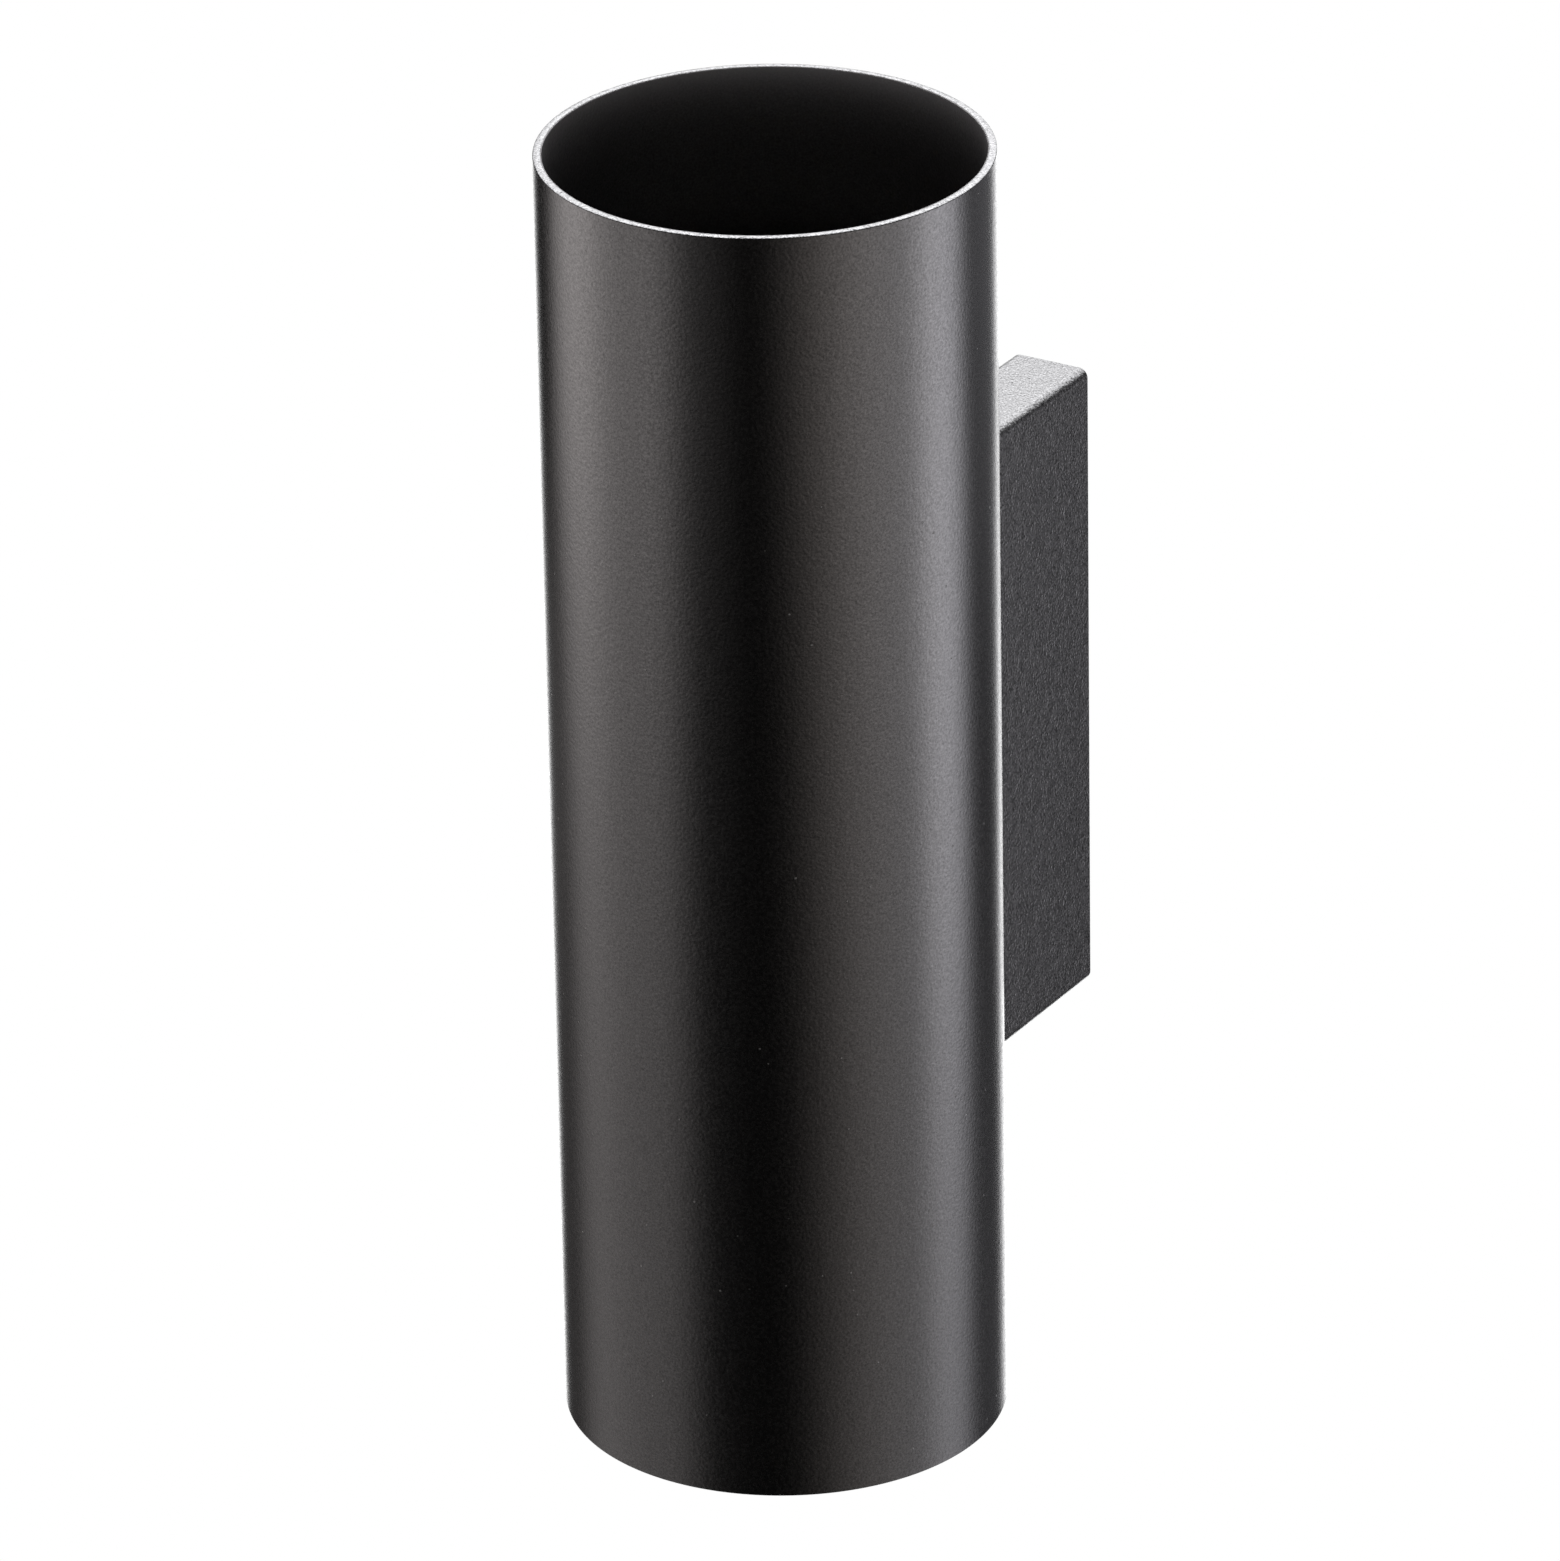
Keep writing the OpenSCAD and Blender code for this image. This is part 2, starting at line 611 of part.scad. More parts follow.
// Way of one lamp lead: from a holder's contact, through the bush, down into a pole's sleeve.
// side is 1 for the upper lamp and -1 for the lower one, hand is -1 or 1 for the two leads
function lamp_lead_way(side, hand, pole) = let (
        axis_y = -wall_to_axis,
        z = box_drop + side * lead_apart / 2,
        near_x = hand * lead_apart / 2,
        lane_x = block_x + hand * lead_lane,
        end_y = pole_y(pole) + side * (lead_d + fit_gap) / 2,
        web_y = axis_y + web_back + bush_flange_t)
    [[hand * pin_at, axis_y, box_drop + side * contact_z],
        [hand * pin_at, axis_y, z],
        [near_x, axis_y + bush_seat - bush_flange_t - lead_tail, z],
        [near_x, web_y + lead_tail, z],
        [lane_x, web_y + lane_start, z],
        [lane_x, end_y, z],
        [block_x, end_y, block_top + lead_tail],
        [block_x, end_y, block_top - lead_depth]];

module lamp_leads(side) color("#b8452c") {
    lead(lamp_lead_way(side, -1, pole_count - 1));
    lead(lamp_lead_way(side, 1, 0));
}

// Earth lead: from the middle pole, over a loop and down into the lug on the bracket
module earth_lead() color("#5f8f2f") {
    lug_y = -bracket_t - lug_barrel_r;
    top_z = earth_z + lug_r + lug_barrel_len + earth_loop;
    lead([
        [block_x, pole_y(1), block_top - lead_depth],
        [block_x, pole_y(1), top_z],
        [0, lug_y, top_z],
        [0, lug_y, earth_z + lug_r + lug_barrel_len - lug_grip]]);
}

// Ring lug on the bracket, its barrel pointing up
module earth_lug() color("#c8cacc") translate([0, -bracket_t, earth_z]) difference() {
    union() {
        rotate([90, 0, 0]) cylinder(r = lug_r, h = lug_t);
        translate([-lug_barrel_r, -lug_t, 0]) cube([2 * lug_barrel_r, lug_t, lug_r + lug_barrel_len / 2]);
        translate([0, -lug_barrel_r, lug_r]) cylinder(r = lug_barrel_r, h = lug_barrel_len);
    }
    translate([0, cut_over, 0]) rotate([90, 0, 0])
        cylinder(d = m3_d + 2 * fit_gap, h = 2 * lug_t + 2 * cut_over);
    translate([0, -lug_barrel_r, lug_r + lug_barrel_len - lug_grip])
        cylinder(r = lug_bore_r, h = lug_grip + cut_over);
}

// Screw that holds the earth lug
module earth_screw() color("#c9a24a")
    translate([0, -bracket_t - lug_t, earth_z]) rotate([90, 0, 0])
        screw(m3_d, m3_head_d, m3_head_h, lug_t + bracket_t);

tube();
wall_box();
wall_bracket();
wall_grommet();
lock_screw();
lamp_carrier();
carrier_screws();
lead_bush();
lampholder(true);  // lampholder_upper
lampholder(false);  // lampholder_lower
holder_contacts(true);  // holder_contacts_upper
holder_contacts(false);  // holder_contacts_lower
holder_screws(true);  // holder_screws_upper
holder_screws(false);  // holder_screws_lower
lamp_shell(true);  // lamp_shell_upper
lamp_shell(false);  // lamp_shell_lower
lamp_base(true);  // lamp_base_upper
lamp_base(false);  // lamp_base_lower
lamp_pins(true);  // lamp_pins_upper
lamp_pins(false);  // lamp_pins_lower
led_board(true);  // led_board_upper
led_board(false);  // led_board_lower
lamp_lens(true);  // lamp_lens_upper
lamp_lens(false);  // lamp_lens_lower
terminal_block();
terminal_sleeves();
terminal_screws();
terminal_block_screw();
lamp_leads(1);  // leads_upper
lamp_leads(-1);  // leads_lower
earth_lead();
earth_lug();
earth_screw();
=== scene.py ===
# %% [markdown]
# Tube wall light
#
# A matte black tube, open at both ends, stands in front of a slim box that holds it off the wall.
# A twist-lock lamp sits deep inside each end. This lesson loads the light's construction, which
# already has its real size and place, and gives it its looks: the camera, a studio that a dark
# glossy surface can mirror, the finishes, and the small shapes that finishes alone can't give.

import math

import bpy
from mathutils import Matrix, Vector


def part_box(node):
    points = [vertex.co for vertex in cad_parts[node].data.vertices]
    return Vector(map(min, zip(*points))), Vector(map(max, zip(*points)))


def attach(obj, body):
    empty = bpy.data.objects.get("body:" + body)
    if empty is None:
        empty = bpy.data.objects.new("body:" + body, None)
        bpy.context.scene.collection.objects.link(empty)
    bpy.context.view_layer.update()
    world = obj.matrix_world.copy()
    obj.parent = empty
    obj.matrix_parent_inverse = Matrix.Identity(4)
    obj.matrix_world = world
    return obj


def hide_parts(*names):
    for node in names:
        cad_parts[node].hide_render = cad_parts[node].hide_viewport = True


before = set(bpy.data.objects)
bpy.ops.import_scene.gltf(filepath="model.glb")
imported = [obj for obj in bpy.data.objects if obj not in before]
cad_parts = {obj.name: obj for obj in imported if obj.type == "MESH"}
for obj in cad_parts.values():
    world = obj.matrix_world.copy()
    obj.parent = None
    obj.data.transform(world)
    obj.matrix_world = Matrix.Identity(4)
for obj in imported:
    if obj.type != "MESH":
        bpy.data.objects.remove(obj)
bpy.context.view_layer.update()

# %% [markdown]
# Lengths that everything else uses
#
# Blender counts in metres, so a value in millimetres is multiplied by MM. The places of the tube,
# the box and the lamps are read from the construction, so that nothing has to be fitted by eye.

# %% Read the places of the main pieces
MM = 0.001
tube_low, tube_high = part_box("tube")
box_low, box_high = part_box("wall_box")
tube_centre = (tube_low + tube_high) / 2
tube_radius = (tube_high.x - tube_low.x) / 2
half_length = (tube_high.z - tube_low.z) / 2
print("tube radius and length, mm:", round(tube_radius / MM, 2), round(2 * half_length / MM, 2))

# %% [markdown]
# The camera
#
# The photograph was taken with a long lens from the front right and from above. The camera aims
# at the middle of the tube. Three small turns then settle the framing: pan and tilt shift the
# picture, and roll leans it by one degree, as the photograph does.

# %% Place the camera
PHOTO_SIDE_PIXELS = 1561
FOCAL_LENGTH_PIXELS = 11145.8
SENSOR_MM = 36.0
CAMERA_AZIMUTH = math.radians(31.36)
CAMERA_ELEVATION = math.radians(25.36)
CAMERA_DISTANCE = 49.25 * tube_radius
CAMERA_PAN = math.radians(-0.021)
CAMERA_TILT = math.radians(0.025)
CAMERA_ROLL = math.radians(1.026)
NEAREST_SEEN = 0.01
FARTHEST_SEEN = 50


def make_camera():
    """A camera that looks at the tube's middle from the photograph's side."""
    flat = math.cos(CAMERA_ELEVATION)
    back = Vector((
        math.sin(CAMERA_AZIMUTH) * flat,
        -math.cos(CAMERA_AZIMUTH) * flat,
        math.sin(CAMERA_ELEVATION),
    ))
    right = (-back).cross(Vector((0, 0, 1))).normalized()
    up = right.cross(-back)
    turn = (
        Matrix.Rotation(CAMERA_PAN, 3, up)
        @ Matrix.Rotation(CAMERA_TILT, 3, right)
        @ Matrix.Rotation(CAMERA_ROLL, 3, -back)
    )
    axes = Matrix((right, up, back)).transposed()
    camera = bpy.data.objects.new("camera", bpy.data.cameras.new("camera"))
    bpy.context.scene.collection.objects.link(camera)
    place = Matrix.Translation(tube_centre + back * CAMERA_DISTANCE)
    camera.matrix_world = place @ (turn @ axes).to_4x4()
    camera.data.sensor_width = SENSOR_MM
    camera.data.sensor_height = SENSOR_MM
    camera.data.lens = SENSOR_MM * FOCAL_LENGTH_PIXELS / PHOTO_SIDE_PIXELS
    camera.data.clip_start = NEAREST_SEEN
    camera.data.clip_end = FARTHEST_SEEN
    return camera


camera = make_camera()
bpy.context.scene.camera = camera
bpy.context.scene.view_settings.view_transform = "Standard"
print("lens in mm:", round(camera.data.lens, 1))

# %% [markdown]
# A helper for materials
#
# Every finish here is built from shader nodes. The helper starts an empty material with one
# Principled shader, and joins nodes by name, so that each finish below reads as a short recipe.

# %% Start a material
# Cloudy noise keeps mostly between these two values
NOISE_LOW = 0.3
NOISE_HIGH = 0.7


class Recipe:
    """A material under construction: a Principled shader and the nodes that feed it."""

    def __init__(self, name, colour, roughness, metallic=0.0):
        self.material = bpy.data.materials.new(name)
        self.material.use_nodes = True
        self.tree = self.material.node_tree
        self.shader = self.tree.nodes["Principled BSDF"]
        self.shader.inputs["Base Color"].default_value = (*colour, 1)
        self.shader.inputs["Roughness"].default_value = roughness
        self.shader.inputs["Metallic"].default_value = metallic
        self.place = self.tree.nodes.new("ShaderNodeTexCoord").outputs["Object"]

    def node(self, kind, **values):
        """Adds a shader node. A value goes to the socket of its name, or else to the setting."""
        made = self.tree.nodes.new("ShaderNode" + kind)
        for key, value in values.items():
            socket = key.replace("_", " ")
            if socket in made.inputs:
                made.inputs[socket].default_value = value
            else:
                setattr(made, key, value)
        return made

    def join(self, source, target):
        """Links an output to an input."""
        self.tree.links.new(source, target)

    def noise(self, size, detail=2.0, roughness=0.5, stretch=None):
        """Cloudy noise whose blotches are about size metres across."""
        made = self.node("TexNoise", Scale=1 / size, Detail=detail, Roughness=roughness)
        place = self.place
        if stretch:
            mapping = self.node("Mapping")
            mapping.inputs["Scale"].default_value = stretch
            self.join(place, mapping.inputs["Vector"])
            place = mapping.outputs["Vector"]
        self.join(place, made.inputs["Vector"])
        return made.outputs["Fac"]

    def cells(self, size):
        """Distance to the nearest of many scattered points about size metres apart."""
        made = self.node("TexVoronoi", Scale=1 / size)
        self.join(self.place, made.inputs["Vector"])
        return made.outputs["Distance"]

    def between(self, source, low, high, to_low=0.0, to_high=1.0):
        """Maps source from low..high to to_low..to_high, held at both ends."""
        made = self.node("MapRange", From_Min=low, From_Max=high, To_Min=to_low, To_Max=to_high)
        self.join(source, made.inputs["Value"])
        return made.outputs["Result"]

    def sum(self, first, second, share=1.0):
        """first plus share times second."""
        made = self.node("Math", operation="MULTIPLY_ADD")
        self.join(second, made.inputs[0])
        made.inputs[1].default_value = share
        self.join(first, made.inputs[2])
        return made.outputs["Value"]

    def tint(self, source, dark, light):
        """Colours source from dark to light."""
        ramp = self.node("ValToRGB")
        ramp.color_ramp.elements[0].color = (*dark, 1)
        ramp.color_ramp.elements[1].color = (*light, 1)
        self.join(source, ramp.inputs["Fac"])
        self.join(ramp.outputs["Color"], self.shader.inputs["Base Color"])

    def relief(self, height, depth):
        """Tilts the surface as if height ran from 0 to depth metres."""
        bump = self.node("Bump", Strength=1.0, Distance=depth)
        self.join(height, bump.inputs["Height"])
        self.join(bump.outputs["Normal"], self.shader.inputs["Normal"])

    def rough(self, source, smooth, rough):
        """Lets the roughness follow cloudy noise, from smooth to rough."""
        level = self.between(source, NOISE_LOW, NOISE_HIGH, smooth, rough)
        self.join(level, self.shader.inputs["Roughness"])


print("a recipe can use:", ", ".join(name for name in vars(Recipe) if not name.startswith("_")))

# %% [markdown]
# Powder coat
#
# The tube and the box are powder coated: fine plastic grains are sprayed on and melted together.
# Seen close, the film has a soft orange peel, grains of a third to half a millimetre, and here and
# there a speck that didn't melt. Noise gives the grain, a slow swell under it and the change of
# shine from spot to spot, and scattered cells give the specks. The tube's film is the smoother
# one. The box's is sandier, and so is the film on the tube's cut rims.

# %% Mix the outer coats
SWELL_IN_GRAINS = 5
GLOSS_CHANGE = 0.04
GLEAM_SIZE = 0.3 * MM
GLEAM_LOW = 0.25
GLEAM_HIGH = 0.75

# Specks: their spacing, then core and edge as shares of the spacing, and height as a share of the
# grain's
SPECK_SPACING = 3.9 * MM
SPECK_CORE = 0.022
SPECK_EDGE = 0.052
SPECK_HEIGHT = 1.5
SPECK_COLOUR = (0.060, 0.058, 0.056)


def powder_coat(name, colour, gloss, grain, depth, shine, sparkle, swelling=1.0):
    """A matte black film. grain is the grains' size and depth their height, both in metres;
    shine is how strongly the film mirrors, and sparkle how much that differs between grains;
    swelling is the height of the slow swell as a share of the grains'."""
    coat = Recipe(name, colour, gloss)
    fine = coat.noise(grain, detail=1.0, roughness=0.4)
    swell = coat.noise(SWELL_IN_GRAINS * grain, detail=1.0)
    speck = coat.between(coat.cells(SPECK_SPACING), SPECK_CORE, SPECK_EDGE, 1.0, 0.0)
    film = coat.sum(fine, swell, share=swelling)
    coat.relief(coat.sum(film, speck, share=SPECK_HEIGHT), depth)
    coat.tint(speck, colour, SPECK_COLOUR)
    coat.rough(fine, gloss - GLOSS_CHANGE, gloss + GLOSS_CHANGE)
    gleam = coat.noise(GLEAM_SIZE, detail=1.0, roughness=0.7)
    level = coat.between(gleam, GLEAM_LOW, GLEAM_HIGH, shine - sparkle, shine + sparkle)
    coat.join(level, coat.shader.inputs["Specular IOR Level"])
    return coat


TUBE_BLACK = (0.0010, 0.0009, 0.0009)
BOX_BLACK = (0.0028, 0.0027, 0.0031)
tube_coat = powder_coat(
    "tube_coat", TUBE_BLACK, gloss=0.26, grain=0.50 * MM, depth=0.024 * MM,
    shine=0.50, sparkle=0.17, swelling=0.5,
).material
rim_coat = powder_coat(
    "rim_coat", TUBE_BLACK, gloss=0.30, grain=0.36 * MM, depth=0.070 * MM,
    shine=0.48, sparkle=0.40,
).material
box_coat = powder_coat(
    "box_coat", BOX_BLACK, gloss=0.30, grain=0.40 * MM, depth=0.078 * MM,
    shine=0.52, sparkle=0.48, swelling=0.8,
).material
print("outer coats:", tube_coat.name, rim_coat.name, box_coat.name)

# %% [markdown]
# The coat inside the tube
#
# The inside's colour carries painted light and painted shade. It is pale at the mouth, where light
# reaches in, and gets darker the deeper one looks, where the shade is painted in. The
# colour follows the distance from the tube's middle: it falls off fast at first, then slowly.

# %% Mix the inner coat
INNER_BLACK = (0.0040, 0.0036, 0.0037)
DEEP_BLACK = (0.0026, 0.0022, 0.0023)
LIT_MOUTH_GREY = (0.070, 0.066, 0.067)
# How far the painted light at each mouth reaches in; it fades to painted shade over this many
# reaches
PAINTED_SHADE_REACH = 2.7 * MM
REACHES_TO_DARK = 8.0
INNER_IOR = 1.3


def painted_depth_shade(coat, deep, mouth, reach):
    """Paints light on the coat at the tube's ends and shade deep inside; reach is in metres."""
    middle = coat.node("VectorMath", operation="SUBTRACT")
    coat.join(coat.place, middle.inputs[0])
    middle.inputs[1].default_value = tube_centre
    parts = coat.node("SeparateXYZ")
    coat.join(middle.outputs["Vector"], parts.inputs["Vector"])
    along = coat.node("Math", operation="ABSOLUTE")
    coat.join(parts.outputs["Z"], along.inputs[0])
    dark = half_length - REACHES_TO_DARK * reach
    depth = coat.between(along.outputs["Value"], dark, half_length, -REACHES_TO_DARK, 0.0)
    fade = coat.node("Math", operation="EXPONENT")
    coat.join(depth, fade.inputs[0])
    coat.tint(fade.outputs["Value"], deep, mouth)


inner = powder_coat(
    "inner_coat", INNER_BLACK, gloss=0.50, grain=0.40 * MM, depth=0.050 * MM,
    shine=0.50, sparkle=0.20,
)
inner.shader.inputs["IOR"].default_value = INNER_IOR
# Painted light at the tube's mouths and painted shade deeper inside
painted_depth_shade(inner, DEEP_BLACK, LIT_MOUTH_GREY, PAINTED_SHADE_REACH)
inner_coat = inner.material
print("inner coat:", inner_coat.name)

# %% [markdown]
# Metals
#
# The bracket and the lamp carrier are bent from zinc-plated steel sheet. Zinc dries in a cloudy
# bloom, and rolled sheet shows faint upright streaks through it. The screws, contacts, pins and
# lamp shells are turned or stamped and only carry the tool's fine marks.

# %% Mix the metals
STREAK_WIDTH = 0.5 * MM
STREAK_SQUEEZE = (1, 1, 0.06)
BLOOM_SIZE = 2.5 * MM
BLOOM_SHARE = 1.5
BLOOM_LOW = 0.95
BLOOM_HIGH = 1.55
BLOOM_DARK = 0.62
ZINC_DEPTH = 0.010 * MM
ZINC_CHANGE = 0.08
MARK_WIDTH = 0.6 * MM
MARK_SQUEEZE = (1, 1, 6)
MARK_DEPTH = 0.003 * MM
MARK_SMOOTHER = 0.06
MARK_ROUGHER = 0.08
TARNISH_SIZE = 3 * MM
TARNISH_DARK = 0.85


def darker(colour, share):
    """A colour taken down to a share of itself."""
    return tuple(share * c for c in colour)


def zinc_plate(name, colour, roughness):
    """Dull zinc on rolled steel: upright streaks from rolling, and a cloudy bloom over them."""
    zinc = Recipe(name, colour, roughness, metallic=1.0)
    streaks = zinc.noise(STREAK_WIDTH, detail=2.0, stretch=STREAK_SQUEEZE)
    bloom = zinc.noise(BLOOM_SIZE, detail=3.0, roughness=0.7)
    cloudy = zinc.between(zinc.sum(streaks, bloom, share=BLOOM_SHARE), BLOOM_LOW, BLOOM_HIGH)
    zinc.tint(cloudy, darker(colour, BLOOM_DARK), colour)
    zinc.rough(streaks, roughness - ZINC_CHANGE, roughness + ZINC_CHANGE)
    zinc.relief(zinc.sum(streaks, zinc.noise(STREAK_WIDTH / 2), share=0.5), ZINC_DEPTH)
    return zinc.material


def bare_metal(name, colour, roughness):
    """Turned or stamped metal with faint marks of the tool."""
    made = Recipe(name, colour, roughness, metallic=1.0)
    marks = made.noise(MARK_WIDTH, stretch=MARK_SQUEEZE)
    made.rough(marks, roughness - MARK_SMOOTHER, roughness + MARK_ROUGHER)
    made.relief(marks, MARK_DEPTH)
    made.tint(made.noise(TARNISH_SIZE), darker(colour, TARNISH_DARK), colour)
    return made.material


zinc_steel = zinc_plate("zinc_steel", (0.36, 0.37, 0.38), roughness=0.50)
screw_steel = bare_metal("screw_steel", (0.42, 0.43, 0.44), roughness=0.34)
brass = bare_metal("brass", (0.74, 0.55, 0.24), roughness=0.30)
nickel = bare_metal("nickel", (0.66, 0.65, 0.62), roughness=0.22)
lamp_metal = bare_metal("lamp_metal", (0.72, 0.72, 0.71), roughness=0.38)
print("metals:", zinc_steel.name, screw_steel.name, brass.name, nickel.name, lamp_metal.name)

# %% [markdown]
# Ceramic, plastic and rubber
#
# Lampholders are pressed from white ceramic, because they get hot. Lamp bases, the terminal
# block, the leads' sleeves, the grommet and the bush are moulded. All of these have a fine matte
# skin and hardly differ in colour from place to place, so one recipe serves them.

# %% Mix the moulded finishes
PATCH_SIZE = 6 * MM
PATCH_DARK = 0.93
SKIN_CHANGE = 0.05


def moulded(name, colour, roughness, grain=0.5 * MM, depth=0.006 * MM):
    """Ceramic, plastic or rubber from a mould, with a fine matte skin."""
    made = Recipe(name, colour, roughness)
    skin = made.noise(grain)
    made.relief(skin, depth)
    made.rough(skin, roughness - SKIN_CHANGE, roughness + SKIN_CHANGE)
    made.tint(made.noise(PATCH_SIZE), darker(colour, PATCH_DARK), colour)
    return made.material


black_rubber = moulded("black_rubber", (0.018, 0.018, 0.018), roughness=0.65)
ceramic = moulded("ceramic", (0.80, 0.78, 0.72), roughness=0.55, grain=0.35 * MM, depth=0.012 * MM)
lamp_plastic = moulded("lamp_plastic", (0.80, 0.80, 0.78), roughness=0.40)
terminal_plastic = moulded("terminal_plastic", (0.78, 0.77, 0.72), roughness=0.35)
lead_sleeve = moulded("lead_sleeve", (0.45, 0.06, 0.03), roughness=0.45)
earth_sleeve = moulded("earth_sleeve", (0.16, 0.36, 0.04), roughness=0.45)
print("moulded:", black_rubber.name, ceramic.name, lamp_plastic.name, terminal_plastic.name)
print("sleeves:", lead_sleeve.name, earth_sleeve.name)

# %% [markdown]
# Lens and emitter
#
# Each lamp shines through a moulded lens. Behind it, on a white board, sits the emitter: a round
# patch of yellow resin. The lens lets about three quarters of the view through, so that the board
# and the patch show under its rings. The patch is only a colour on the board, worked out from the
# distance to the lamp's axis.

# %% Mix the lens and the board
LENS_COLOUR = (0.72, 0.74, 0.75)
LENS_MILK = 0.27
LENS_IOR = 1.49
LENS_SKIN = 1.6 * MM
LENS_SKIN_DEPTH = 0.02 * MM
LENS_SMOOTH = 0.08
LENS_ROUGH = 0.16
BOARD_COLOUR = (0.82, 0.82, 0.79)
BOARD_ROUGHNESS = 0.45
BOARD_GRAIN = 0.4 * MM
BOARD_DEPTH = 0.008 * MM
EMITTER_COLOUR = (0.90, 0.56, 0.03)
EMITTER_RADIUS = 8 * MM
EMITTER_EDGE = 0.05 * MM
EMITTER_GRAIN = 0.5 * MM
EMITTER_MOTTLE = 0.06


def lens_plastic(name):
    """Moulded lens: about three quarters clear, the rest milky, with a faint skin."""
    made = Recipe(name, LENS_COLOUR, LENS_ROUGH)
    made.shader.inputs["Alpha"].default_value = LENS_MILK
    made.shader.inputs["IOR"].default_value = LENS_IOR
    skin = made.noise(LENS_SKIN)
    made.relief(skin, LENS_SKIN_DEPTH)
    made.rough(skin, LENS_SMOOTH, LENS_ROUGH)
    return made.material


def lamp_board(name):
    """White board with a round yellow emitter in its middle, on the lamp's axis."""
    made = Recipe(name, BOARD_COLOUR, BOARD_ROUGHNESS)
    level = made.node("VectorMath", operation="MULTIPLY")
    level.inputs[1].default_value = (1, 1, 0)
    made.join(made.place, level.inputs[0])
    away = made.node("VectorMath", operation="DISTANCE")
    made.join(level.outputs["Vector"], away.inputs[0])
    away.inputs[1].default_value = (tube_centre.x, tube_centre.y, 0)
    outside = made.between(away.outputs["Value"], EMITTER_RADIUS - EMITTER_EDGE, EMITTER_RADIUS)
    mottle = made.noise(EMITTER_GRAIN)
    grain = made.between(mottle, NOISE_LOW, NOISE_HIGH, -EMITTER_MOTTLE, 0.0)
    made.tint(made.sum(outside, grain), EMITTER_COLOUR, BOARD_COLOUR)
    made.relief(made.noise(BOARD_GRAIN), BOARD_DEPTH)
    return made.material


board_white = lamp_board("board_white")
lens_clear = lens_plastic("lens_glass")
print("lens and board:", lens_clear.name, board_white.name)

# %% [markdown]
# Finish each piece of the construction
#
# A piece keeps its shape and takes a finish in its material slot. The table says which. Some of
# these pieces get a finer shape further on, and then the new shape takes the finish.

# %% Dress the construction
FINISH = {
    "tube": tube_coat,
    "wall_box": box_coat,
    "wall_bracket": zinc_steel,
    "wall_grommet": black_rubber,
    "lock_screw": screw_steel,
    "lamp_carrier": zinc_steel,
    "carrier_screws": screw_steel,
    "lead_bush": black_rubber,
    "lampholder": ceramic,
    "holder_contacts": brass,
    "holder_screws": screw_steel,
    "lamp_shell": lamp_metal,
    "lamp_base": lamp_plastic,
    "lamp_pins": nickel,
    "led_board": board_white,
    "lamp_lens": lens_clear,
    "terminal_block": terminal_plastic,
    "terminal_sleeves": brass,
    "terminal_screws": screw_steel,
    "terminal_block_screw": screw_steel,
    "leads": lead_sleeve,
    "earth_lead": earth_sleeve,
    "earth_lug": nickel,
    "earth_screw": brass,
}


def finish_of(node_name):
    """The finish of a node: pieces that come twice share one, whatever end they are at."""
    plain = node_name.removesuffix("_upper").removesuffix("_lower")
    return FINISH[plain]


for node_name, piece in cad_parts.items():
    piece.data.materials.clear()
    piece.data.materials.append(finish_of(node_name))
print("dressed", len(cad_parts), "pieces")

# %% [markdown]
# Shapes with exact normals
#
# A dark glossy surface shows every facet, so the tube and the box get finer shapes than their
# construction has. Each corner point is given the true direction of the surface there, which
# keeps long flat walls flat beside small rounded edges.

# %% Build a shape from points and directions


class Shape:
    """Corner points, the surface's direction at each, and the faces between them."""

    def __init__(self):
        self.points, self.normals, self.faces = [], [], []

    def ring(self, points, normals):
        """Adds a row of points and returns the number of its first one."""
        start = len(self.points)
        self.points.extend(points)
        self.normals.extend(normals)
        return start

    def bridge(self, first, second, count):
        """Faces between two closed rows of count points each."""
        for i in range(count):
            j = (i + 1) % count
            self.faces.append((first + i, first + j, second + j, second + i))

    def patch(self, corners, normal):
        """One flat face with its own corners."""
        start = self.ring(corners, [normal] * len(corners))
        self.faces.append(tuple(range(start, start + len(corners))))

    def slab(self, low, high):
        """A block between two corners, all six faces flat."""
        square = [(0, 0), (1, 0), (1, 1), (0, 1)]
        for axis in range(3):
            across, along = (axis + 1) % 3, (axis + 2) % 3
            for side, level in ((-1, low[axis]), (1, high[axis])):
                corners = []
                for u, v in square if side > 0 else reversed(square):
                    corner = [0.0, 0.0, 0.0]
                    corner[axis] = level
                    corner[across] = (low, high)[u][across]
                    corner[along] = (low, high)[v][along]
                    corners.append(tuple(corner))
                normal = [0.0, 0.0, 0.0]
                normal[axis] = float(side)
                self.patch(corners, tuple(normal))

    def make(self, name, material):
        """The finished object, smooth, with the given directions."""
        mesh = bpy.data.meshes.new(name)
        mesh.from_pydata(self.points, [], self.faces)
        mesh.shade_smooth()
        mesh.normals_split_custom_set_from_vertices(self.normals)
        mesh.materials.append(material)
        made = bpy.data.objects.new(name, mesh)
        bpy.context.scene.collection.objects.link(made)
        return made


def arc(middle_out, middle_up, radius, start, end, steps):
    """Points of a rounded corner, with their directions. Angles in degrees, 0 outwards, 90 up."""
    made = []
    for i in range(steps + 1):
        angle = math.radians(start + (end - start) * i / steps)
        out, up = math.cos(angle), math.sin(angle)
        made.append((middle_out + radius * out, middle_up + radius * up, out, up))
    return made


